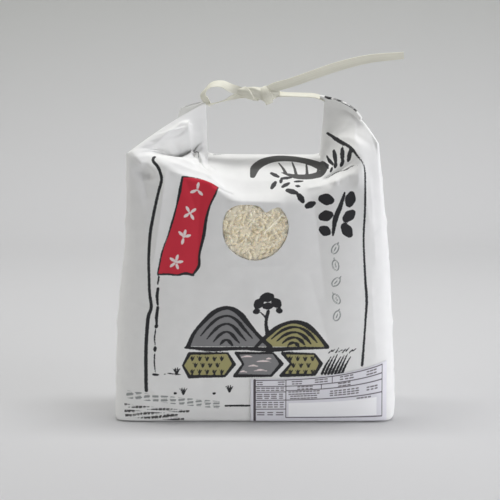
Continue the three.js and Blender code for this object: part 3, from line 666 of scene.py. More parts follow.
# %% Frame lines, pole and bar, and a painted shade line at the crest
LEFT_FRAME = [
    (-74.9, 196.4), (-75, 193.2), (-71.7, 189.7), (-69.6, 185), (-68.9, 179.9), (-71.2, 172),
    (-73.3, 164), (-76.2, 151.7), (-78.2, 141.5), (-79, 129.5), (-78.8, 119.6), (-76.4, 98.6),
    (-74.4, 87.4), (-76, 80.5), (-76.5, 73.5), (-76.9, 55), (-76.5, 24),
]
RIGHT_FRAME = [
    (70.6, 229), (71, 222), (71.6, 216), (73.8, 208.2), (76.5, 202.7), (78.4, 198.1), (80.7, 193.7),
    (82, 190), (82.4, 185), (82, 176.7), (81, 157.8), (79.4, 136.7), (79.7, 107), (80.2, 92),
    (78.8, 77), (77, 58.6), (75.4, 43),
]
POLE = [
    [(-70.4, 110), (-70.8, 104)], [(-70.4, 101), (-70.6, 95), (-69.8, 89)],
    [(-69.6, 87), (-70.2, 80), (-69.9, 75)], [(-69.9, 73.4), (-70.2, 72)],
    [(-70.4, 70), (-71, 64), (-70.4, 58.5)], [(-70.4, 56.5), (-70.5, 54.5)],
    [(-70.6, 52), (-70.8, 46), (-70, 38)],
]
POLE_WIDTHS = (1.3, 2.1, 2.1, 2.4, 1.0, 2.4, 1.0)
FRAME_AND_SHADE_STROKES = [
    (LEFT_FRAME, [2.1, 2.3, 2.2, 2.5, 2.1, 2.7, 2.6]),
    (RIGHT_FRAME, [2.4, 2.6, 2.0, 1.7, 1.0, 1.4, 1.6, 1.5, 2.1, 1.5, 2.0]),
    *((part, [wide, wide * 1.15, wide * 0.8]) for part, wide in zip(POLE, POLE_WIDTHS)),
    ([(-71.6, 36.4), (-68, 36.2)], [1.8, 1.6]), ([(-20.6, 12.9), (-3.6, 13)], 1.5),
    ([(-69.1, 209.8), (-67.8, 212)], 1.6), ([(-66.9, 213.8), (-65, 217)], 1.6),
    ([(-64.2, 218.3), (-62.7, 220.7)], 1.6),
    ([(-62.4, 220.6), (-57, 219.6), (-53, 215.6), (-49.6, 209)], [1.1, 0.7, 1.0, 0.4]),
    # The thin black line just under the crest is painted shade, where the shoulder meets the roll.
    ([(-31, 225), (-14, 222.6), (6, 222.3), (20, 222.5)], [0.9, 1.3, 0.8, 0.4]),
    ([(54, 186.4), (58, 186.8), (62.4, 188.8), (68.8, 188.2), (73, 190), (76, 190.8), (78.6, 190.2)],
     [0.6, 1.1, 0.7]),
]
for line, widths in FRAME_AND_SHADE_STROKES:
    front.stroke("black", line, widths)
print("frame:", len(FRAME_AND_SHADE_STROKES), "strokes")

# %% [markdown]
# ## Banner, leaf and ear
#
# A red cloth hangs beside the left pole with four plain flower-like marks in pale ink. On the
# shoulder lie a broad leaf in dark grey, loose grains and an ear of rice with its beard. All are
# drawn with few strokes whose widths swell and thin out, which is what reads as brushwork.

# %% Hanging banner with plain motifs
BANNER = [
    (-53.1, 182.6), (-46, 182.6), (-38, 181), (-32, 178.5), (-26.6, 175.4), (-29, 170), (-33, 162),
    (-36, 152), (-37.8, 141), (-41, 127), (-41.6, 117), (-45.4, 111), (-58, 111.6), (-71.5, 111.6),
    (-69, 128), (-64, 142), (-59, 157),
]
front.field("red", BANNER)
BANNER_EDGES = (
    ([(-53.4, 182.4), (-56, 170), (-59.4, 157), (-64.2, 142), (-69.2, 128), (-71.6, 111.8)],
     [1.6, 2.4, 1.2, 1.6, 0.9, 1.3, 1.1]),
    ([(-27, 175.2), (-29.4, 169.6), (-33.2, 162), (-36.2, 152), (-38, 141), (-41.2, 127), (-41.4, 118),
      (-45.4, 111.4)],
     [0.8, 1.5, 1.3, 2.2, 2.6, 1.7, 2.3, 1.6]),
    ([(-45.2, 111), (-51, 112.4), (-57, 111.2), (-64, 111.8), (-71.4, 111.4)],
     [1.6, 2.2, 1.3, 1.6, 1.2]),
    ([(-53.2, 182.7), (-46, 182.8), (-40, 181.6)], [1.5, 0.6, 0.5]),
)
for line, widths in BANNER_EDGES:
    front.stroke("black", line, widths)
# Each motif is x, height, tilt and the directions of its arms in degrees.
MOTIFS = (
    (-42.6, 173, -12, (90, 210, 330)), (-48.2, 156.6, -14, (45, 135, 225, 315)),
    (-53, 139.2, -16, (30, 90, 150, 270)), (-58.6, 120.8, -14, (90, 162, 234, 306, 18)),
)
for x, h, tilt, arms in MOTIFS:
    for arm in arms:
        angle = math.radians(arm + tilt)
        front.grain("pale", x + 3.3 * math.cos(angle), h + 3.5 * math.sin(angle), 5.4, 2.3, arm + tilt)
    front.stroke("pale", [(x - 0.5, h), (x + 0.5, h)], 1.3)
print("banner with", len(MOTIFS), "motifs")

# %% Leaf, grains and ear on the shoulder
LEAF_TOP = [
    (-1.5, 189.5), (1, 200), (8, 209.5), (18, 214.6), (30, 214.8), (41, 211), (49, 205), (54, 199),
]
LEAF_FOOT = [(20, 193.5), (30, 189.4), (41, 189.4), (50, 193.4), (54, 198)]
VEINS = (
    ((23, 193), (18, 207)), ((31, 190.5), (28, 209)), ((39, 190.5), (38.5, 208)),
    ((47, 193), (47.5, 205)),
)
front.stroke("grey", LEAF_TOP, [4, 8, 9.6, 10, 9.8, 9.6, 10.5, 9])
front.stroke("grey", LEAF_FOOT, [1, 5, 6.4, 8, 7.4])
for vein in VEINS:
    front.stroke("grey", vein, [2.4, 1.2])
front.stroke("black", [(66.5, 171), (62.8, 161), (59, 152), (57, 140.5)], [1.6, 3.4, 4, 1.6])
# Each dab is x, height, length, width and turn in degrees.
LOOSE = (
    (15, 190.6, 10, 3.8, -38), (23.5, 187.4, 10, 3.2, 8), (14, 180.6, 9.4, 3.6, 62),
    (23, 180.6, 9, 3.4, 35), (27.6, 173.8, 12, 5, -24), (34, 167.8, 11, 5, -62),
    (41, 162.6, 10.6, 5.2, 22), (32.6, 184, 8, 2.4, 4), (19.5, 184.6, 6, 2.6, 80),
    (32, 179, 5, 2.6, -10),
)
EAR = (
    (53, 166.4, 15, 8.6, -12), (70.6, 166.6, 14.6, 8, 72), (52.4, 154.6, 14, 8, 16),
    (69.4, 154.6, 14, 7.6, 40), (51.4, 143.6, 12, 7.6, -26), (67.4, 143.8, 14.6, 8.2, -58),
)
BEARD = (
    (56, 200, 12, 2.2, 100), (60.4, 203.4, 16, 3.0, 100), (65.4, 204, 15, 3.4, 80),
    (70.4, 201.4, 12, 3.2, 74), (74.2, 198.4, 10, 2.8, 66), (63.4, 195.4, 7, 3.2, 70),
    (68.4, 194.8, 7, 3.0, 56), (59.4, 192.6, 6, 2.4, 60),
)
for dab in LOOSE + EAR + BEARD:
    front.grain("black", *dab)
print("dabs:", len(LOOSE), len(EAR), len(BEARD))

# %% Column of small grain outlines
HUSK_X, HUSK_LONG, HUSK_WIDE = 58.4, 3.9, 2.3
HUSK_ANGLES = np.linspace(0, 2 * math.pi, 15)
for h, turn in ((130.5, 62), (118.4, 100), (106, 48), (93.4, 118), (80.8, 70)):
    c, s = math.cos(math.radians(turn)), math.sin(math.radians(turn))

    def husk(along, aside=0.0):
        """Place along and beside the grain's length, from its middle."""
        return HUSK_X + along * c - aside * s, h + along * s + aside * c

    ring = [husk(HUSK_LONG * math.cos(t), HUSK_WIDE * math.sin(t)) for t in HUSK_ANGLES]
    front.stroke("faint", ring, 0.95, smooth=False)
    front.stroke("faint", [husk(-1.6), husk(1.4)], 0.9)
    front.stroke("faint", [husk(HUSK_LONG), husk(5.6)], 0.9)
print("column of husks at x", HUSK_X)

# %% [markdown]
# ## Hills and fields
#
# The lower front carries a little landscape: a steep slate hill and a low khaki one with terraces
# drawn round them, a tree in the saddle between, and paddies with young rice in front. Each form
# is a field of colour with dark brushed lines over it, as in a hand-cut print.

# %% Hills and a tree
SLATE_HILL = [
    (-47, 58), (-43, 68), (-36, 77), (-28, 84.5), (-19, 87), (-11, 83), (-4, 74.5), (3, 66),
    (11, 58),
]
KHAKI_HILL = [(1, 58), (8, 65.5), (17, 73), (27, 76.5), (36, 74.5), (43, 68.5), (48, 62), (51, 57.5)]
HILLS = (("slate", SLATE_HILL, (-20, 57), [3.2, 2.4, 3.6, 2.8, 4.2, 2.6, 3.2]),
         ("khaki", KHAKI_HILL, (27, 57), [2.2, 3.4, 2.4, 3.8, 2.6, 3]))
for ink, hill, foot, widths in HILLS:
    front.field(ink, rounded_line(hill))
    front.stroke("black", hill, widths)
    for share in (0.8, 0.6, 0.4, 0.2):
        terrace = [[f + (p - f) * share for f, p in zip(foot, point)] for point in hill[1:-1]]
        front.stroke("black", terrace, [0.9, 2.4, 1.5, 2.8, 1.1])
front.stroke("black", [(9, 68), (8, 76), (9.5, 84)], [3.2, 2.2, 2.6])
front.stroke("black", [(8.6, 79), (4, 84)], [1.6, 1.0])
TREE = (
    (9, 95, 13, 7.4, 12), (3, 90.4, 11, 7, 50), (15.6, 90.6, 11, 7, -42), (9.5, 88.4, 10, 5.6, 4),
    (1.4, 84.6, 7, 4.4, 20), (17.6, 84.8, 6.6, 4.2, -14),
)
for dab in TREE:
    front.grain("black", *dab)
front.stroke("black", [(-49, 57), (-30, 56), (-8, 56.6), (12, 55.8), (32, 56.6), (52, 56.8)],
             [1.6, 3.4, 2.4, 3.6, 2.4, 1.4])

print("hills:", len(HILLS), "and a tree of", len(TREE), "dabs")

# %% Paddies and young rice
PADDIES = (("khaki", [(-46, 52.6), (-19, 53), (-14.5, 44.6), (-21, 35.6), (-46, 35), (-50.5, 43.4)]),
           ("slate", [(-13, 53), (13, 53), (19, 45), (11.5, 35.8), (-14, 35.8), (-8, 44.8)]),
           ("khaki", [(19.5, 53), (42, 52.4), (46.5, 45), (42, 36.6), (18.5, 36), (25.5, 45)]))
for ink, outline in PADDIES:
    front.field(ink, outline)
    front.stroke("black", [*outline, outline[0]], [2.2, 1.4, 2.8, 1.8, 2.6, 1.6, 2.4], smooth=False)
for low, high in ((-44, -21), (25, 41)):
    for k, h in enumerate((38.6, 43.6, 48.6)):
        for x in np.arange(low + 2.2 * (k % 2), high, 5.2):
            for lean in (-1.5, 0, 1.5):
                front.stroke("black", [(x, h - 1.2), (x + lean, h + 1.9 - 0.2 * abs(lean))], [1.3, 0.7])
for h, x, long in ((50, -5, 9), (46.4, 6, 11), (43, -1, 7), (39.6, 4, 9), (48.4, 10, 4), (38.6, -8, 5)):
    front.stroke("pale", [(x - long / 2, h), (x, h + 0.7), (x + long / 2, h)], [0.6, 1.4, 0.6])
print("fields:", len(PADDIES))

# %% Grass
for k, x in enumerate(np.linspace(47, 61, 7)):
    front.stroke("black", [(x, 37.2), (x + 2.5, 43), (x + 6.5, 50 + (k % 3))], [1.9, 1.5, 0.7])
for k, x in enumerate(np.linspace(52, 69, 8)):
    front.stroke("black", [(x, 53 + (k % 2)), (x + 2.4, 55.2 + (k % 3) * 0.8)], [1.0, 0.6])
for x, h in ((-55, 39.6), (-50.2, 24.4), (-17.7, 26.2)):
    for lean in (-2.9, -1.1, 0.7, 2.6):
        front.stroke("black", [(x, h - 2.6), (x + lean * 0.5, h),
                               (x + lean, h + 2.6 - abs(lean) * 0.3)], [1.5, 0.6])
front.stroke("black", [(-64, 36.8), (-60, 37.4), (-56, 36.6), (-51.5, 36.9)], [0.6, 1.1, 0.6])
for x, h in ((-56, 22.4), (-28.6, 22.4)):
    front.stroke("black", [(x - 0.3, h), (x + 0.4, h)], 1.9)
print("landscape drawn")

# %% [markdown]
# ## Small print
#
# Small words stand at the foot of the front. Plain bars of changing length take their place, in
# rows as dense as the words were, so that the grey of the print is right and nothing can be read.

# %% Plain bars where small print stands
bar_random = np.random.default_rng(7)
BAR_SHARE = 0.78


def bars(sheet, ink, start, end, count, width, rows=(0,)):
    """A line of short plain bars from start to end, in one or more rows."""
    for k in range(count):
        at = np.array(start) + (np.array(end) - start) * (k + 0.5) / count
        long = abs(end[0] - start[0]) / count * BAR_SHARE
        for lift in rows:
            cut = long * bar_random.uniform(0.6, 1) / 2
            lean = (end[1] - start[1]) / (end[0] - start[0]) * cut
            ends = [(at[0] + way * cut, at[1] + lift + way * lean) for way in (-1, 1)]
            sheet.stroke(ink, ends, width, smooth=False)


bars(front, "faint", (-91.4, 20.6), (-24, 13.4), 11, 0.9, (-2.4, -0.8, 0.8, 2.4))
for start, end, count in (((-93, 12.6), (-46, 8.4), 17), ((-93, 8.6), (-54, 5.4), 14),
                          ((-92, 5), (-50, 2.4), 16)):
    bars(front, "grey", start, end, count, 0.85, (-0.8, 0.7))

# %% Store the inks
front.store()

# %% [markdown]
# ## The rolled band
#
# The mouth of the sack is rolled up round a flat tape, which makes a stiff band behind the crest
# whose two ends stand up behind the horns. A spiral strip is swept along the crest, and Solidify
# gives it the paper's thickness, so that the layers show at both ends.

# %% Size of the roll and its directions
BAND_WIDTH, BAND_BACK, BAND_PAPER = 23, 2.6, 0.3
ROLL_TURNS, ROLL_POINTS = 3, 72
ROLL_INNER, ROLL_GROWTH = (8.6, 0.45), (2.7, 1.85)
LEG_STOPS, MIDDLE_STOPS, BEND_STOPS, BEND_ROOM = 12, 24, 10, 5
CURL_STOPS, CURL_NARROWER, CURL_THICKER = 5, 0.2, 0.7


def unit(v):
    v = np.asarray(v, float)
    return v / np.linalg.norm(v)


OUT_LEFT, OUT_RIGHT = unit((-1, 0.05, -0.28)), unit((1, 0.02, -0.42))
OUT_CREST = unit((0, 0.62, -0.785))
print("the band stands out towards", OUT_LEFT.round(2), OUT_CREST.round(2), OUT_RIGHT.round(2))


# %% The roll's way along the crest
def band_leg(start, end, out, steps, first, last):
    along = unit(end - start)
    return [(start + (end - start) * s, out, along) for s in np.linspace(first, last, steps + 1)]


def band_bend(corner, out_a, out_b, along_a, along_b):
    """Turns the band from one leg to the next, round one corner."""
    def between(a, b, t):
        return unit(a + (b - a) * t)

    mix = [(k + 1) / BEND_STOPS for k in range(BEND_STOPS - 1)]
    return [(corner, between(out_a, out_b, t), between(along_a, along_b, t)) for t in mix]


def band_stations():
    """Up the left horn's end, along the crest and up the right horn's end."""
    down, over = unit(CREST_LEFT - TIP_LEFT), unit(CREST_RIGHT - CREST_LEFT)
    up = unit(TIP_RIGHT - CREST_RIGHT)
    side = BEND_ROOM / np.linalg.norm(TIP_LEFT - CREST_LEFT)
    top = BEND_ROOM / np.linalg.norm(CREST_RIGHT - CREST_LEFT)
    return [
        *band_leg(TIP_LEFT, CREST_LEFT, OUT_LEFT, LEG_STOPS, -0.02, 1 - side),
        *band_bend(CREST_LEFT + (1, 0, 1), OUT_LEFT, OUT_CREST, down, over),
        *band_leg(CREST_LEFT, CREST_RIGHT, OUT_CREST, MIDDLE_STOPS, top, 1 - top),
        *band_bend(CREST_RIGHT + (-1, 0, 1), OUT_CREST, OUT_RIGHT, over, up),
        *band_leg(CREST_RIGHT, TIP_RIGHT, OUT_RIGHT, LEG_STOPS, side, 1.02),
    ]


stations = band_stations()
print("band:", len(stations), "stops along the crest")


# %% Sweep the roll
def squared(wave, power):
    """A sine or cosine flattened towards a square wave."""
    return np.sign(wave) * np.abs(wave) ** power


def roll_section(k):
    """Flattened spiral from the innermost turn outward: across the band and through it."""
    share = k / ROLL_POINTS
    angle = 2 * math.pi * ROLL_TURNS * share
    half_wide, half_thick = (inner + growth * share for inner, growth in zip(ROLL_INNER, ROLL_GROWTH))
    across = BAND_WIDTH / 2 + half_wide * squared(np.cos(angle), 0.45)
    return across, half_thick * squared(np.sin(angle), 0.8)


band, column, row = new_grid("rolled_band", ROLL_POINTS, len(stations) - 1)
at, out, along = (np.array([s[k] for s in stations]) for k in range(3))
through = np.cross(along, out)
through /= np.linalg.norm(through, axis=1)[:, None]
a, b = roll_section(column)
# The end at the left tip curls in, so the first stops are narrower and thicker.
curl = (1 - np.minimum(row / CURL_STOPS, 1)) ** 2
curl_axis = BAND_WIDTH * 0.3
a = curl_axis + (a - curl_axis) * (1 - CURL_NARROWER * curl)
b = b * (1 + CURL_THICKER * curl)
put(band, at[row] + (0, BAND_BACK, 0) + out[row] * a[:, None] + through[row] * b[:, None])
lay_map(band, 3.0 * column, 3.0 * row)
weld(band)
apply(band, "SOLIDIFY", thickness=BAND_PAPER * MM, offset=0)
smooth_faces(band, FOLD_ANGLE)
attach(band, "root")
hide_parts("sack")
print("band:", len(band.data.polygons), "faces")

# %% [markdown]
# ## The film
#
# Thin clear film is glued behind the window. It lies close to the paper's edge, is pressed out a
# little by the grains and has one hard crease. The crease and a few fainter lines are stored on the
# disc as a painted highlight, which the material makes less clear, where lamps would glint on it.

# %% Film
FILM_CREASES = [
    ((6.5, 142.5), (24, 160), -0.42, 1.5), ((-16, 150), (-6, 160), -0.2, 2.5),
    ((-12, 128), (2, 134), -0.15, 3), ((10, 130), (20, 138), -0.15, 3),
]
FILM_BACK, FILM_PRESS, FILM_RIPPLE, FILM_THICK = 0.75, 0.3, 0.12, 0.1


def film_depth(x, z, share):
    """The film lies close behind the paper, pressed out by the grains, with one sharp crease."""
    ripple = FILM_RIPPLE * np.sin(x * 0.9) * np.sin(z * 0.8)
    return FILM_BACK - FILM_PRESS * share + relief(x, z, FILM_CREASES) + ripple


film = window_disc("clear_film", WINDOW_SPOKES, 40, film_depth, grow=-0.3)
apply(film, "SOLIDIFY", thickness=FILM_THICK * MM, offset=0)
smooth_faces(film)
film.visible_shadow = False
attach(film, "root")
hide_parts("window_film")
print("film:", len(film.data.polygons), "faces")

# %% Painted highlight lines along the film's creases
crease_glint = Print(film, "crease_glint")
crease_glint.stroke("crease_glint", [(6.5, 142.3), (12, 147), (17.6, 153), (24, 159.6)], [0.4, 1.3, 1.0, 0.5])
for line in ([(-17, 150), (-11, 156), (-6, 159)], [(-13, 128), (-5, 131), (3, 134.5)],
             [(9, 130), (15, 134), (20, 139)], [(-20, 140), (-15, 141)], [(-2, 150), (2, 155)]):
    crease_glint.stroke("crease_glint", line, [0.1, 0.5, 0.1])
crease_glint.store()

# %% [markdown]
# ## The rice
#
# Grains press against the film. One grain is modelled, with its slightly flat sides and the notch
# where the germ sat, and copied, each copy turned its own way. A plain core behind them closes
# the view between the grains.

# %% One grain
GRAIN = (5.7, 3.1, 2.3)
NOTCH_DEPTH, NOTCH_PLACE, NOTCH_SPREAD = 0.16, (0.42, 0.2), 0.02
rice_random = np.random.default_rng(41)
deselect()
bpy.ops.mesh.primitive_uv_sphere_add(segments=8, ring_count=6, radius=0.5)
grain = bpy.context.object
grain.name = grain.data.name = "grain"
ball = places(grain)
from_notch = (ball[:, 2] - NOTCH_PLACE[0]) ** 2 + (ball[:, 0] - NOTCH_PLACE[1]) ** 2
notch = 1 - NOTCH_DEPTH * np.exp(-from_notch / NOTCH_SPREAD)
blunt = squared(2 * ball[:, 2], 0.85) / 2
ball = np.stack([blunt * GRAIN[0], ball[:, 1] * GRAIN[2], ball[:, 0] * notch * GRAIN[1]], 1)
print("grain:", len(ball), "corners,", GRAIN, "mm")


# %% Places of the grains
LAYERS, GRAIN_STEP, ROW_SHARE, JITTER, EDGE_ROOM = (2.0, 3.1), 3.4, 0.87, 0.9, 1.4


def turned(points, roll, spin, tip):
    """Turns a grain about its length, then out of the plane of the window, then in it."""
    for angle, i, j in ((roll, 1, 2), (tip, 0, 1), (spin, 0, 2)):
        c, s = math.cos(angle), math.sin(angle)
        p, q = points[:, i].copy(), points[:, j].copy()
        points[:, i], points[:, j] = c * p - s * q, s * p + c * q
    return points


grains = []
for depth in LAYERS:
    for i in range(-8, 9):
        for k in range(-9, 10):
            dx = (i + (k % 2) / 2) * GRAIN_STEP + rice_random.uniform(-JITTER, JITTER)
            dz = k * GRAIN_STEP * ROW_SHARE + rice_random.uniform(-JITTER, JITTER)
            room = window_radius(math.atan2(dz, dx)) - math.hypot(dx, dz)
            turn = rice_random.uniform((0, 0, -0.35), (math.pi, 2 * math.pi, 0.35))
            size = rice_random.uniform(0.88, 1.06)
            sink = rice_random.uniform(-0.35, 0.5)
            if room < EDGE_ROOM:
                continue
            centre = front_at(np.array([WINDOW_X + dx]), np.array([WINDOW_Z + dz]), depth + sink)
            grains.append(turned(ball * size, *turn) + centre)
print("grains:", len(grains))

# %% The layer of grains
copies = []
for points in grains:
    copy = grain.copy()
    copy.data = grain.data.copy()
    bpy.context.collection.objects.link(copy)
    put(copy, points)
    copies.append(copy)
bpy.data.objects.remove(grain)
deselect()
for copy in copies:
    copy.select_set(True)
bpy.context.view_layer.objects.active = copies[0]
bpy.ops.object.join()
rice = bpy.context.object
rice.name = rice.data.name = "rice_grains"
tone = np.repeat(rice_random.uniform(0, 1, len(grains)), len(ball))
rice.data.attributes.new("tone", "FLOAT", "POINT").data.foreach_set("value", tone)
smooth_faces(rice)
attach(rice, "root")
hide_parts("rice_in_window")
print("rice:", len(rice.data.polygons), "faces")


# %% Core behind the grains
def core_depth(x, z, share):
    """The core's face is a little uneven, like the grains further in."""
    return 3.5 + 0.3 * np.sin(1.3 * x) * np.sin(1.5 * z)


core = window_disc("rice_core", 96, 16, core_depth, grow=-0.5)
apply(core, "SOLIDIFY", thickness=3.0 * MM, offset=1)
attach(core, "root")
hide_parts("rice_in_window")
print("core:", len(core.data.polygons), "faces")

# %% [markdown]
# ## The label
#
# A printed slip of smoother, cooler paper is glued to the lower right and goes on round the
# corner, where its top edge rises. It lies on the same function as the front, less than half a
# millimetre out, so it follows every wave of the sack and never cuts into it.

# %% Label slip
LABEL_LEFT, LABEL_RIGHT, LABEL_LOW, LABEL_HIGH, LABEL_RISE = -3, 97.5, 1.4, 33.5, 12
LABEL_COLUMNS, LABEL_ROWS, LABEL_TALL, LABEL_OUT, LABEL_THICK = 240, 90, 30.0, 0.45, 0.2


def label_top(x):
    """Top edge: level at the left, then rising round the corner."""
    t = np.clip((x - LABEL_LEFT) / (LABEL_RIGHT - LABEL_LEFT), 0, 1)
    return LABEL_HIGH + LABEL_RISE * t ** 2.6


label, column, row = new_grid("label_slip", LABEL_COLUMNS, LABEL_ROWS)
x = LABEL_LEFT + (LABEL_RIGHT - LABEL_LEFT) * column / LABEL_COLUMNS
z = LABEL_LOW + (label_top(x) - LABEL_LOW) * row / LABEL_ROWS
put(label, front_at(x, z, -LABEL_OUT))
lay_map(label, x, LABEL_TALL * row / LABEL_ROWS)
apply(label, "SOLIDIFY", thickness=LABEL_THICK * MM, offset=0)
smooth_faces(label, FOLD_ANGLE)
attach(label, "root")
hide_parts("label")
print("label:", len(label.data.polygons), "faces")

# %% [markdown]
# ## The label's print
#
# The slip is a ruled table whose cells would hold small words. Thin rules make the cells, rows of
# short bars stand for the words, and one cell stays an empty bright patch. Heights are measured
# up the slip, so the rules follow its curved top edge as they do on printed paper.

# %% Rules and bars of the label
RULES = (
    ((0, 0.5), (0, 29)), ((0, 29), (94, 29)), ((94, 29), (94, 3)), ((0, 24.6), (94, 24.6)),
    ((23, 29), (23, 2.4)), ((23, 21.4), (94, 21.4)), ((0, 14.8), (94, 14.8)), ((0, 8.4), (23, 8.4)),
    ((23, 2.4), (94, 2.4)), ((49, 24.6), (49, 21.4)), ((57, 29), (57, 24.6)),
    ((0, 20.6), (23, 20.6)),
)
EDGE_RULE, THIN_RULE, BAR_WIDTH = 1.9, 0.6, 0.8
TWO, THREE = (-0.8, 0.8), (-1.4, 0, 1.4)
# Left end, right end, height, number of bars, rows.
SLIP_BARS = (
    (1.5, 6, 26.8, 2, TWO), (17, 22, 26.8, 2, TWO), (27, 35, 26.8, 3, TWO), (44, 54, 27, 3, TWO),
    (62, 73, 27, 3, TWO), (1, 22, 22.6, 6, TWO), (1, 22, 17.6, 4, THREE), (31, 43, 23, 4, TWO),
    (24.5, 48, 19.6, 9, TWO), (26, 46, 16.6, 8, TWO), (61, 71, 23, 3, TWO), (82, 90, 26.8, 3, TWO),
    (55, 77, 18, 7, THREE), (82, 91, 18.6, 3, (-1.2, 0.2)), (75, 86, 13.4, 4, (0,)),
    (1, 22, 11.6, 5, (-1.6, 0, 1.6)), (1, 22, 5.4, 3, (-1, 0.6)),
)
slip = Print(label, "rule", "bar", "patch")
for low, high in RULES:
    slip.stroke("rule", [low, high], EDGE_RULE if low[0] == high[0] == 0 else THIN_RULE, smooth=False)
for left, right, h, count, rows in SLIP_BARS:
    bars(slip, "bar", (left, h), (right, h), count, BAR_WIDTH, rows)
slip.field("patch", [(25, 3), (90, 3), (90, 12.6), (25, 12.6)])
slip.store()

# %% [markdown]
# ## The tie
#
# A flat paper tape comes out of both ends of the roll and is knotted above the middle. Each
# stretch of it is a grid swept along stops, with its width turned as the tape twists. It is a
# little cupped across, as stiff paper tape is, so that its edges catch the light.

# %% Stops of the tape: place, width, direction of the width
UPRIGHT = (0, -0.25, 1)
STRANDS = {
    "low_strand": [((-34.6, 3.5, 231.2), 5, (0.5, -0.6, 0.4)), ((-24, 2.5, 234), 3, (0, -1, 0.2)),
                   ((-14, 2, 237.5), 4, UPRIGHT), ((-6, 2, 239), 5, UPRIGHT)],
    "loop": [((-34.2, 3.5, 231.5), 5, (0.7, -0.5, 0.2)), ((-37.5, 1, 238.5), 7, (0.5, -0.7, 0.4)),
             ((-33, -1, 245.6), 7, (0, -0.9, -0.4)), ((-24.5, -1, 247), 7, (0, -0.75, -0.65)),
             ((-16.5, 0.5, 243.4), 6.5, (0, -0.3, -1)), ((-8, 1.5, 240.5), 6, (0, 0.25, -1))],
    "right_strand": [((12, 2, 239.4), 5, (0, 0.25, 1)), ((22, 1.5, 239), 4.6, (0, 0.75, 0.65)),
                     ((34, 1.5, 238.6), 4.8, (0, 0.85, 0.6)), ((44, 1.6, 238), 5, (0, 0.85, 0.6)),
                     ((52, 1.4, 235.6), 5, (0.2, 0.85, 0.6))],
    "free_end": [((8, 1, 241), 6, UPRIGHT), ((15, 0, 244.5), 7, UPRIGHT), ((26, -1, 247.6), 7, UPRIGHT),
                 ((42, -2, 253.2), 7, UPRIGHT), ((62, -3, 260), 7, UPRIGHT),
                 ((84, -4, 265.2), 6.3, UPRIGHT),
                 ((108.5, -5, 267.6), 5.3, (0, -0.3, 1))],
}
TAPE_COLUMNS, TAPE_CUP, NUDGE = 6, 0.06, 0.02


# %% Tape stretches
def through_stops(values, t):
    """Smooth values at t, which counts the stops."""
    index = np.arange(len(values))
    return np.stack([curve(list(zip(index, v)), t) for v in np.array(values, float).T], -1)


def tape(name, stops, steps, thick=0.5, stands_for="tie"):
    """Flat tape along stops of place, width and direction of the width."""
    piece, column, row = new_grid(name, TAPE_COLUMNS, steps)
    places_on_way, widths, directions = zip(*stops)
    last = len(stops) - 1
    t = row / steps * last
    ahead = through_stops(places_on_way, np.minimum(t + NUDGE, last))
    run = ahead - through_stops(places_on_way, np.maximum(t - NUDGE, 0))
    run /= np.linalg.norm(run, axis=1)[:, None]
    wide = through_stops([unit(d) for d in directions], t)
    wide -= run * (wide * run).sum(1)[:, None]
    wide /= np.linalg.norm(wide, axis=1)[:, None]
    up = np.cross(run, wide)
    width = curve(list(enumerate(widths)), t)
    across = column / (TAPE_COLUMNS / 2) - 1
    cup = TAPE_CUP * width * (across ** 2 - 0.5)
    place = through_stops(places_on_way, t)
    put(piece, place + wide * (across * width / 2)[:, None] + up * cup[:, None])
    lay_map(piece, across * width / 2, row * 1.0)
    apply(piece, "SOLIDIFY", thickness=thick * MM, offset=0)
    smooth_faces(piece, FOLD_ANGLE)
    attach(piece, "root")
    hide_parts(stands_for)
    print(name + ":", len(piece.data.polygons), "faces")
    return piece


strands = [tape("tape_" + name, stops, 60) for name, stops in STRANDS.items()]

# %% [markdown]
# ## The seam and the lip
#
# The tube is glued together at the back, where one edge of the paper lies on the other, and the
# right horn's front edge is turned over into a narrow lip. Both are strips of the same paper, so
# the tape's sweep makes them too, along a column of the back and along the edge of the front.

# %% Overlap seam at the back
SEAM_STOPS, SEAM_U, SEAM_WIDTH = 24, 0.09, 15
seam_rows = np.linspace(-0.985, -0.1, SEAM_STOPS)
seam_line = back_point(np.full(SEAM_STOPS, SEAM_U), seam_rows)[0] + (0, 0.15, 0)
# The upper end dips into the sheet, because no flap stands out there.
seam_line[-1] -= (0, 0.6, 0)
seam_stops = [(tuple(place), SEAM_WIDTH, (1, 0, 0)) for place in seam_line]
back_seam = tape("back_seam", seam_stops, 180, thick=0.4, stands_for="sack")

# %% Lip of the right horn
LIP_WIDTHS = (3.4, 4.8, 5.2, 4.8, 5.4, 5, 4.6, 3.6, 2)
lip_rows = np.linspace(1.0, 0.34, len(LIP_WIDTHS))
lip_line = front_point(np.full(len(LIP_WIDTHS), 1.0), lip_rows)[0] + (-0.8, -1.4, 1.8)
lip_line[0] += (-2.5, 0, 1.2)
lip_stops = [(tuple(place), wide, (0.25, -0.55, 0.8)) for place, wide in zip(lip_line, LIP_WIDTHS)]
lip = tape("horn_lip", lip_stops, 60, thick=1.4, stands_for="sack")
lip_print = Print(lip, *front.fields)
lip_print.stroke("black", [(2.2, 4), (2.0, 12)], [1.2, 2.0, 0.8])
lip_print.stroke("black", [(2.3, 14), (2.1, 34), (2.2, 50)], [0.5, 0.9, 0.4])
lip_print.store()

# %% [markdown]
# ## The knot
#
# In the knot the tape is gathered and wound over itself. A flattened tube with overlapping steps
# gives the wound part, and a separate turn of tape lies slantwise over its right end. Steps that
# are really there catch the light better than a smooth lump with a bump.

# %% Wound part of the knot: stops of place, height, depth
KNOT_STOPS = [
    ((-15.5, 2, 240.6), 2.4, 2.2), ((-12.5, 2, 240.4), 5.4, 3.6), ((-8, 2, 240.3), 7.4, 5),
    ((-2, 2, 240.2), 9.6, 6.2), ((4, 2, 239.2), 9.2, 6.4), ((9, 2, 238.2), 10, 6.6),
    ((13.5, 2, 239), 7.4, 5.6), ((18.5, 2, 240.4), 4.6, 3.4),
]
KNOT_AROUND, KNOT_STEPS, KNOT_TURNS, STEP_HIGH = 60, 70, 2.4, 0.26

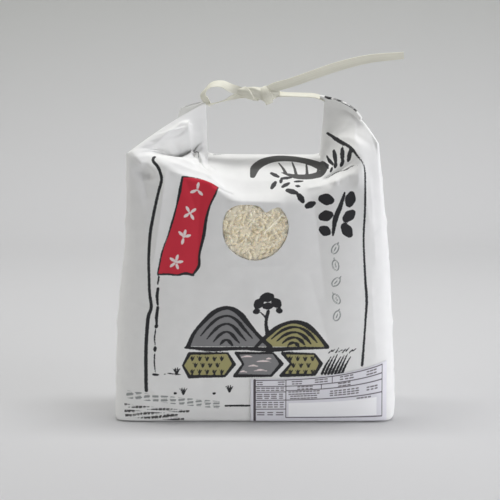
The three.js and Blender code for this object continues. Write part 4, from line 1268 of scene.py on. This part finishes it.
centres, heights, depths = zip(*KNOT_STOPS)
knot, column, row = new_grid("tape_knot", KNOT_AROUND, KNOT_STEPS)
t = np.clip((row - 1) / (KNOT_STEPS - 2), 0, 1) * (len(KNOT_STOPS) - 1)
angle = 2 * math.pi * column / KNOT_AROUND
phase = (KNOT_TURNS * t / (len(KNOT_STOPS) - 1) + angle / (2 * math.pi)) % 1
swell = 1 + STEP_HIGH * (phase - 0.5) + 0.05 * np.sin(5 * angle + 3 * t)
shut = np.where((row == 0) | (row == KNOT_STEPS), 0, 1)
high = curve(list(enumerate(heights)), t) / 2
deep = curve(list(enumerate(depths)), t) / 2
y = -deep * swell * squared(np.cos(angle), 0.75) * shut
z = high * swell * squared(np.sin(angle), 0.9) * shut
put(knot, through_stops(centres, t) + np.stack([0 * y, y, z], -1))
lay_map(knot, 16.0 * column / KNOT_AROUND, 30 * t / len(KNOT_STOPS))
weld(knot)
smooth_faces(knot, 40)
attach(knot, "root")
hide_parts("tie")
print("knot:", len(knot.data.polygons), "faces")

# %% Slanting turn over the knot
TURN_X, TURN_Y, TURN_Z, TURN_DEEP, TURN_HIGH, SLANT = 8.6, 2, 238.3, 3.9, 6.0, 0.42
turn_stops = []
for angle in np.linspace(-0.15, 2 * math.pi + 0.25, 15):
    y, z = TURN_Y - TURN_DEEP * math.cos(angle), TURN_Z + TURN_HIGH * math.sin(angle)
    turn_stops.append(((TURN_X + SLANT * (TURN_Z - z), y, z), 5.6, (1, 0, SLANT)))
knot_turn = tape("tape_knot_turn", turn_stops, 90)

# %% [markdown]
# ## The floor
#
# The studio has one seamless pale sheet that lies under the sack and curves up behind it, so no
# edge of a wall shows. It is a grid bent once round a wide radius, and it belongs to the stage.

# %% Floor with a curved backdrop
FLAT_ROWS, BEND_ROWS, COVE_ROWS = 20, 14, 40
NEAR_EDGE, FLAT_STEP, BEND_RADIUS, WALL_STEP, COVE_HALF = -1500, 110, 450, 330, 2500
cove, column, row = new_grid("backdrop", 2, COVE_ROWS)
bend = np.clip((row - FLAT_ROWS) / BEND_ROWS, 0, 1) * math.pi / 2
behind = NEAR_EDGE + FLAT_STEP * FLAT_ROWS + BEND_RADIUS * np.sin(bend)
depth = np.where(row < FLAT_ROWS, NEAR_EDGE + FLAT_STEP * row, behind)
above = BEND_RADIUS + WALL_STEP * (row - FLAT_ROWS - BEND_ROWS)
lift = np.where(row < FLAT_ROWS + BEND_ROWS, BEND_RADIUS * (1 - np.cos(bend)), above)
put(cove, np.stack([(column - 1.0) * COVE_HALF, depth, lift], 1))
smooth_faces(cove)
print("backdrop:", len(cove.data.polygons), "faces")

# %% [markdown]
# ## The light
#
# A narrow lamp overhead, a little behind the sack, leaves the soft dark line in front of the base.
# A long lamp brightens the backdrop, soft boxes stand on both sides, and the right ones are
# stronger and cooler. The room itself gives almost no light, but the camera sees it as pale grey,
# because the sheet ends somewhere and nothing black should stand beyond its edge.

# %% Soft lamps: place, aim, size, power, colour
BODY_MIDDLE = (0, 0, 0.12)
LAMPS = {
    "top_strip_light": ((0.05, 0.085, 1.25), (0.05, 0.03, 0), (1.0, 0.24), 10.8, (1, 1, 1)),
    "backdrop_light": ((0, 0.4, 0.9), (0, 1.3, 0.45), (2.4, 0.3), 4.2, (1, 1, 1)),
    "front_light": ((-0.1, -1.45, 0.13), (0, 0, 0.13), (1.0, 0.2), 1.2, (1, 1, 1)),
    "right_softbox": ((1.35, -0.3, 0.25), BODY_MIDDLE, (0.7, 0.45), 8.6, (0.95, 0.95, 1)),
    "right_front_softbox": ((1.05, -0.8, 0.4), BODY_MIDDLE, (0.9, 0.7), 4.6, (0.95, 0.96, 1)),
    "left_softbox": ((-1.25, 0, 0.9), BODY_MIDDLE, (0.9, 0.9), 3.6, (1, 0.99, 0.96)),
    "low_left_softbox": ((-1.3, -0.5, 0.3), BODY_MIDDLE, (0.8, 0.5), 3, (1, 1, 1)),
}
for name, (place, aim, size, power, tint) in LAMPS.items():
    bpy.ops.object.light_add(type="AREA", location=place)
    lamp = bpy.context.object
    lamp.name = lamp.data.name = name
    lamp.data.shape = "RECTANGLE"
    lamp.data.size, lamp.data.size_y = size
    lamp.data.energy = power
    lamp.data.color = tint
    lamp.rotation_euler = (Vector(aim) - Vector(place)).to_track_quat("-Z", "Y").to_euler()
print("lamps:", *LAMPS)

# %% The room beyond the sheet
ROOM_LIGHT, ROOM_SEEN = 0.02, 0.5
world = bpy.data.worlds.new("studio")
bpy.context.scene.world = world
world.use_nodes = True
sky = world.node_tree.nodes["Background"]
sky.inputs["Color"].default_value = (1, 0.985, 0.965, 1)
seen = world.node_tree.nodes.new("ShaderNodeLightPath").outputs["Is Camera Ray"]
glow = world.node_tree.nodes.new("ShaderNodeMapRange")
glow.inputs["To Min"].default_value = ROOM_LIGHT
glow.inputs["To Max"].default_value = ROOM_SEEN
world.node_tree.links.new(seen, glow.inputs["Value"])
world.node_tree.links.new(glow.outputs[0], sky.inputs["Strength"])
print("room light:", ROOM_LIGHT, "seen as:", ROOM_SEEN)

# %% [markdown]
# ## Materials
#
# Every finish is built from nodes. Bleached paper is white with a faint cloud of fibres, small
# crumple facets and a fine tooth, all read from the sheet's own flat map so that they follow the
# folds. The inks lie over it in the order they are printed.

# %% Node helpers
def new_material(name, roughness, *pieces):
    """A new material, which these pieces wear."""
    material = bpy.data.materials.new(name)
    material.use_nodes = True
    shader = material.node_tree.nodes["Principled BSDF"]
    shader.inputs["Roughness"].default_value = roughness
    for piece in pieces:
        piece.data.materials.clear()
        piece.data.materials.append(material)
    return material.node_tree, shader


def set_or_link(tree, socket, value):
    if isinstance(value, bpy.types.NodeSocket):
        tree.links.new(value, socket)
    else:
        socket.default_value = value


def add(tree, kind, inputs=None, **settings):
    """A node with its settings, and its inputs set to a value or linked to a socket."""
    node = tree.nodes.new(kind)
    for key, value in settings.items():
        setattr(node, key, value)
    for key, value in (inputs or {}).items():
        set_or_link(tree, node.inputs[key], value)
    return node


def linear(*rgb):
    """Display colour from 0 to 255 as scene-linear values."""
    return tuple((c / 255 / 12.92 if c <= 10 else ((c / 255 + 0.055) / 1.055) ** 2.4) for c in rgb)


def object_place(tree):
    return add(tree, "ShaderNodeTexCoord").outputs["Object"]


def sheet_place(tree):
    return add(tree, "ShaderNodeUVMap", uv_map="sheet").outputs["UV"]


def stored(tree, name):
    """A number that the mesh keeps on each corner."""
    return add(tree, "ShaderNodeAttribute", attribute_name=name).outputs["Fac"]


# %% Nodes for colour, noise and bumps
def mixed(tree, share, under, over):
    """Colour under, covered by colour over as far as share says."""
    node = add(tree, "ShaderNodeMix", data_type="RGBA")
    for socket, value in zip((node.inputs["Factor"], node.inputs[6], node.inputs[7]),
                             (share, under, over)):
        set_or_link(tree, socket, (*value, 1) if isinstance(value, tuple) else value)
    return node.outputs[2]


def noise_of(tree, coordinates, size_mm, detail=2.0, rough=0.5):
    inputs = {"Vector": coordinates, "Scale": 1 / (size_mm * MM), "Detail": detail, "Roughness": rough}
    return add(tree, "ShaderNodeTexNoise", inputs).outputs["Fac"]


def ranged(tree, value, low, high, to_low, to_high):
    inputs = {"Value": value, "From Min": low, "From Max": high, "To Min": to_low, "To Max": to_high}
    return add(tree, "ShaderNodeMapRange", inputs).outputs[0]


def bumped(tree, height, distance_mm, strength=1.0, under=None):
    inputs = {"Height": height, "Distance": distance_mm * MM, "Strength": strength}
    node = add(tree, "ShaderNodeBump", inputs)
    if under is not None:
        tree.links.new(under, node.inputs["Normal"])
    return node.outputs["Normal"]


def surface(tree, shader, colour, normal):
    tree.links.new(colour, shader.inputs["Base Color"])
    tree.links.new(normal, shader.inputs["Normal"])


# %% Paper and its inks
PAPER, LABEL_PAPER, TAPE_PAPER = linear(238, 238, 236), linear(232, 231, 237), linear(224, 222, 206)
# Each ink with its colour and how ragged its edge is, in millimetres.
SACK_INKS = (
    ("khaki", linear(165, 159, 108), 0.16), ("slate", linear(132, 132, 133), 0.16),
    ("red", linear(206, 34, 57), 0.14), ("pale", linear(240, 226, 224), 0.16),
    ("faint", linear(150, 154, 152), 0.1), ("grey", linear(62, 62, 60), 0.2),
    ("black", linear(28, 28, 32), 0.3),
)
LABEL_INKS = (("patch", linear(253, 253, 254), 0.02), ("bar", linear(120, 114, 118), 0.1),
              ("rule", linear(78, 70, 76), 0.03))
EDGE_SOFT = 0.16


def paper_surface(tree, coordinates, colour):
    """Colour and normal of bare paper: fibre cloud, crumple facets, soft waves and a fine tooth."""
    cloud = ranged(tree, noise_of(tree, coordinates, 9, 4), 0.3, 0.7, 0.0, 1.0)
    tinted = mixed(tree, cloud, tuple(0.965 * c for c in colour), colour)
    facets = add(tree, "ShaderNodeTexVoronoi", {"Vector": coordinates, "Scale": 1 / (17 * MM)},
                 feature="F1", distance="EUCLIDEAN")
    normal = bumped(tree, facets.outputs["Distance"], 0.35, 0.35)
    normal = bumped(tree, noise_of(tree, coordinates, 22, 3), 1.0, 0.3, normal)
    normal = bumped(tree, noise_of(tree, coordinates, 0.7, 5, 0.6), 0.04, 0.6, normal)
    return tinted, normal


def printed(tree, coordinates, colour, inks):
    """Lays each ink over the colour, its edge made ragged by a noise."""
    wobble = noise_of(tree, coordinates, 1.6, 3, 0.7)
    for ink, ink_colour, rough_edge in inks:
        ragged = add(tree, "ShaderNodeMath",
                     {0: wobble, 1: rough_edge * 3, 2: stored(tree, "ink_" + ink)},
                     operation="MULTIPLY_ADD").outputs[0]
        middle = rough_edge * 1.5
        share = ranged(tree, ragged, middle + EDGE_SOFT, middle - EDGE_SOFT, 0.0, 1.0)
        colour = mixed(tree, share, colour, ink_colour)
    return colour


# %% White paper, plain or printed
tree, shader = new_material("sack_paper", 0.62, sack, lip)
place = sheet_place(tree)
colour, normal = paper_surface(tree, place, PAPER)
surface(tree, shader, printed(tree, place, colour, SACK_INKS), normal)

tree, shader = new_material("band_paper", 0.62, band, back_seam)
surface(tree, shader, *paper_surface(tree, object_place(tree), PAPER))

tree, shader = new_material("label_paper", 0.5, label)
place = sheet_place(tree)
colour, normal = paper_surface(tree, place, LABEL_PAPER)
surface(tree, shader, printed(tree, place, colour, LABEL_INKS), normal)
print("paper materials:", *(piece.active_material.name for piece in (sack, band, label)))

# %% [markdown]
# ## Tape, rice, film and floor
#
# The tape is cream paper with fibres drawn out along its length, which a noise stretched by a
# scaled map gives. Grains of rice are slightly see-through, each with a tone of its own, and the
# core behind them is only warm and grainy. Clear film is gloss that is mostly absent: its alpha
# is low, higher in faint clouds and highest along the creases, where it is a painted highlight.
# The sheet of the floor gets darker towards its top, painted shade that makes the backdrop grey
# behind a white sack.

# %% Paper tape
tree, shader = new_material("tape_paper", 0.55, *strands, knot, knot_turn)
place = sheet_place(tree)
colour, normal = paper_surface(tree, place, TAPE_PAPER)
lengthwise = add(tree, "ShaderNodeVectorMath", {0: place, 1: (1, 0.04, 1)}, operation="MULTIPLY")
fibre = noise_of(tree, lengthwise.outputs["Vector"], 0.7, 2)
colour = mixed(tree, ranged(tree, fibre, 0.4, 0.7, 0, 0.35), colour, linear(240, 239, 228))
surface(tree, shader, colour, bumped(tree, fibre, 0.12, 0.8, normal))
print("tape material on", len(strands) + 2, "pieces")

# %% Rice
tree, shader = new_material("rice", 0.42, rice)
place = object_place(tree)
colour = mixed(tree, stored(tree, "tone"), linear(238, 221, 182), linear(252, 243, 218))
chalky = ranged(tree, noise_of(tree, place, 2.2, 3), 0.45, 0.7, 0, 0.5)
colour = mixed(tree, chalky, colour, linear(250, 246, 232))
surface(tree, shader, colour, bumped(tree, noise_of(tree, place, 0.6, 3), 0.05, 0.5))
shader.inputs["Subsurface Weight"].default_value = 0.25
shader.inputs["Subsurface Radius"].default_value = (0.0015, 0.0012, 0.0007)

tree, shader = new_material("rice_core", 0.6, core)
grainy = ranged(tree, noise_of(tree, object_place(tree), 3, 4, 0.7), 0.35, 0.65, 0, 1)
colour = mixed(tree, grainy, linear(224, 206, 164), linear(248, 236, 204))
surface(tree, shader, colour, bumped(tree, grainy, 0.5, 0.8))
print("rice materials:", rice.active_material.name, core.active_material.name)

# %% Clear film
tree, shader = new_material("clear_film", 0.12, film)
shader.inputs["Base Color"].default_value = (0.97, 0.93, 0.8, 1)
place = object_place(tree)
haze = ranged(tree, noise_of(tree, place, 9, 4, 0.65), 0.34, 0.68, 0.08, 0.4)
# Painted highlight: the film is whiter and less clear along the stored crease lines, where lamps would
# glint.
glint_alpha = ranged(tree, stored(tree, "ink_crease_glint"), 0.35, -0.15, 0.0, 0.75)
cover = add(tree, "ShaderNodeMath", {0: haze, 1: glint_alpha}, operation="MAXIMUM").outputs[0]
tree.links.new(cover, shader.inputs["Alpha"])
tree.links.new(bumped(tree, noise_of(tree, place, 5, 3), 0.3, 1.0), shader.inputs["Normal"])
print("film material:", film.active_material.name)

# %% Floor
# Painted shade: the sheet darkens from the floor up the backdrop, where less lamp light would reach.
FLOOR_LOW, BACKDROP_PAINTED_SHADE, SHADE_TOP = (0.66, 0.66, 0.665), (0.42, 0.425, 0.41), 0.34
tree, shader = new_material("floor", 0.8, cove)
height = add(tree, "ShaderNodeSeparateXYZ", {0: object_place(tree)}).outputs["Z"]
shade = ranged(tree, height, 0.0, SHADE_TOP, 0, 1)
tree.links.new(mixed(tree, shade, FLOOR_LOW, BACKDROP_PAINTED_SHADE), shader.inputs["Base Color"])
print("floor material:", cove.active_material.name)
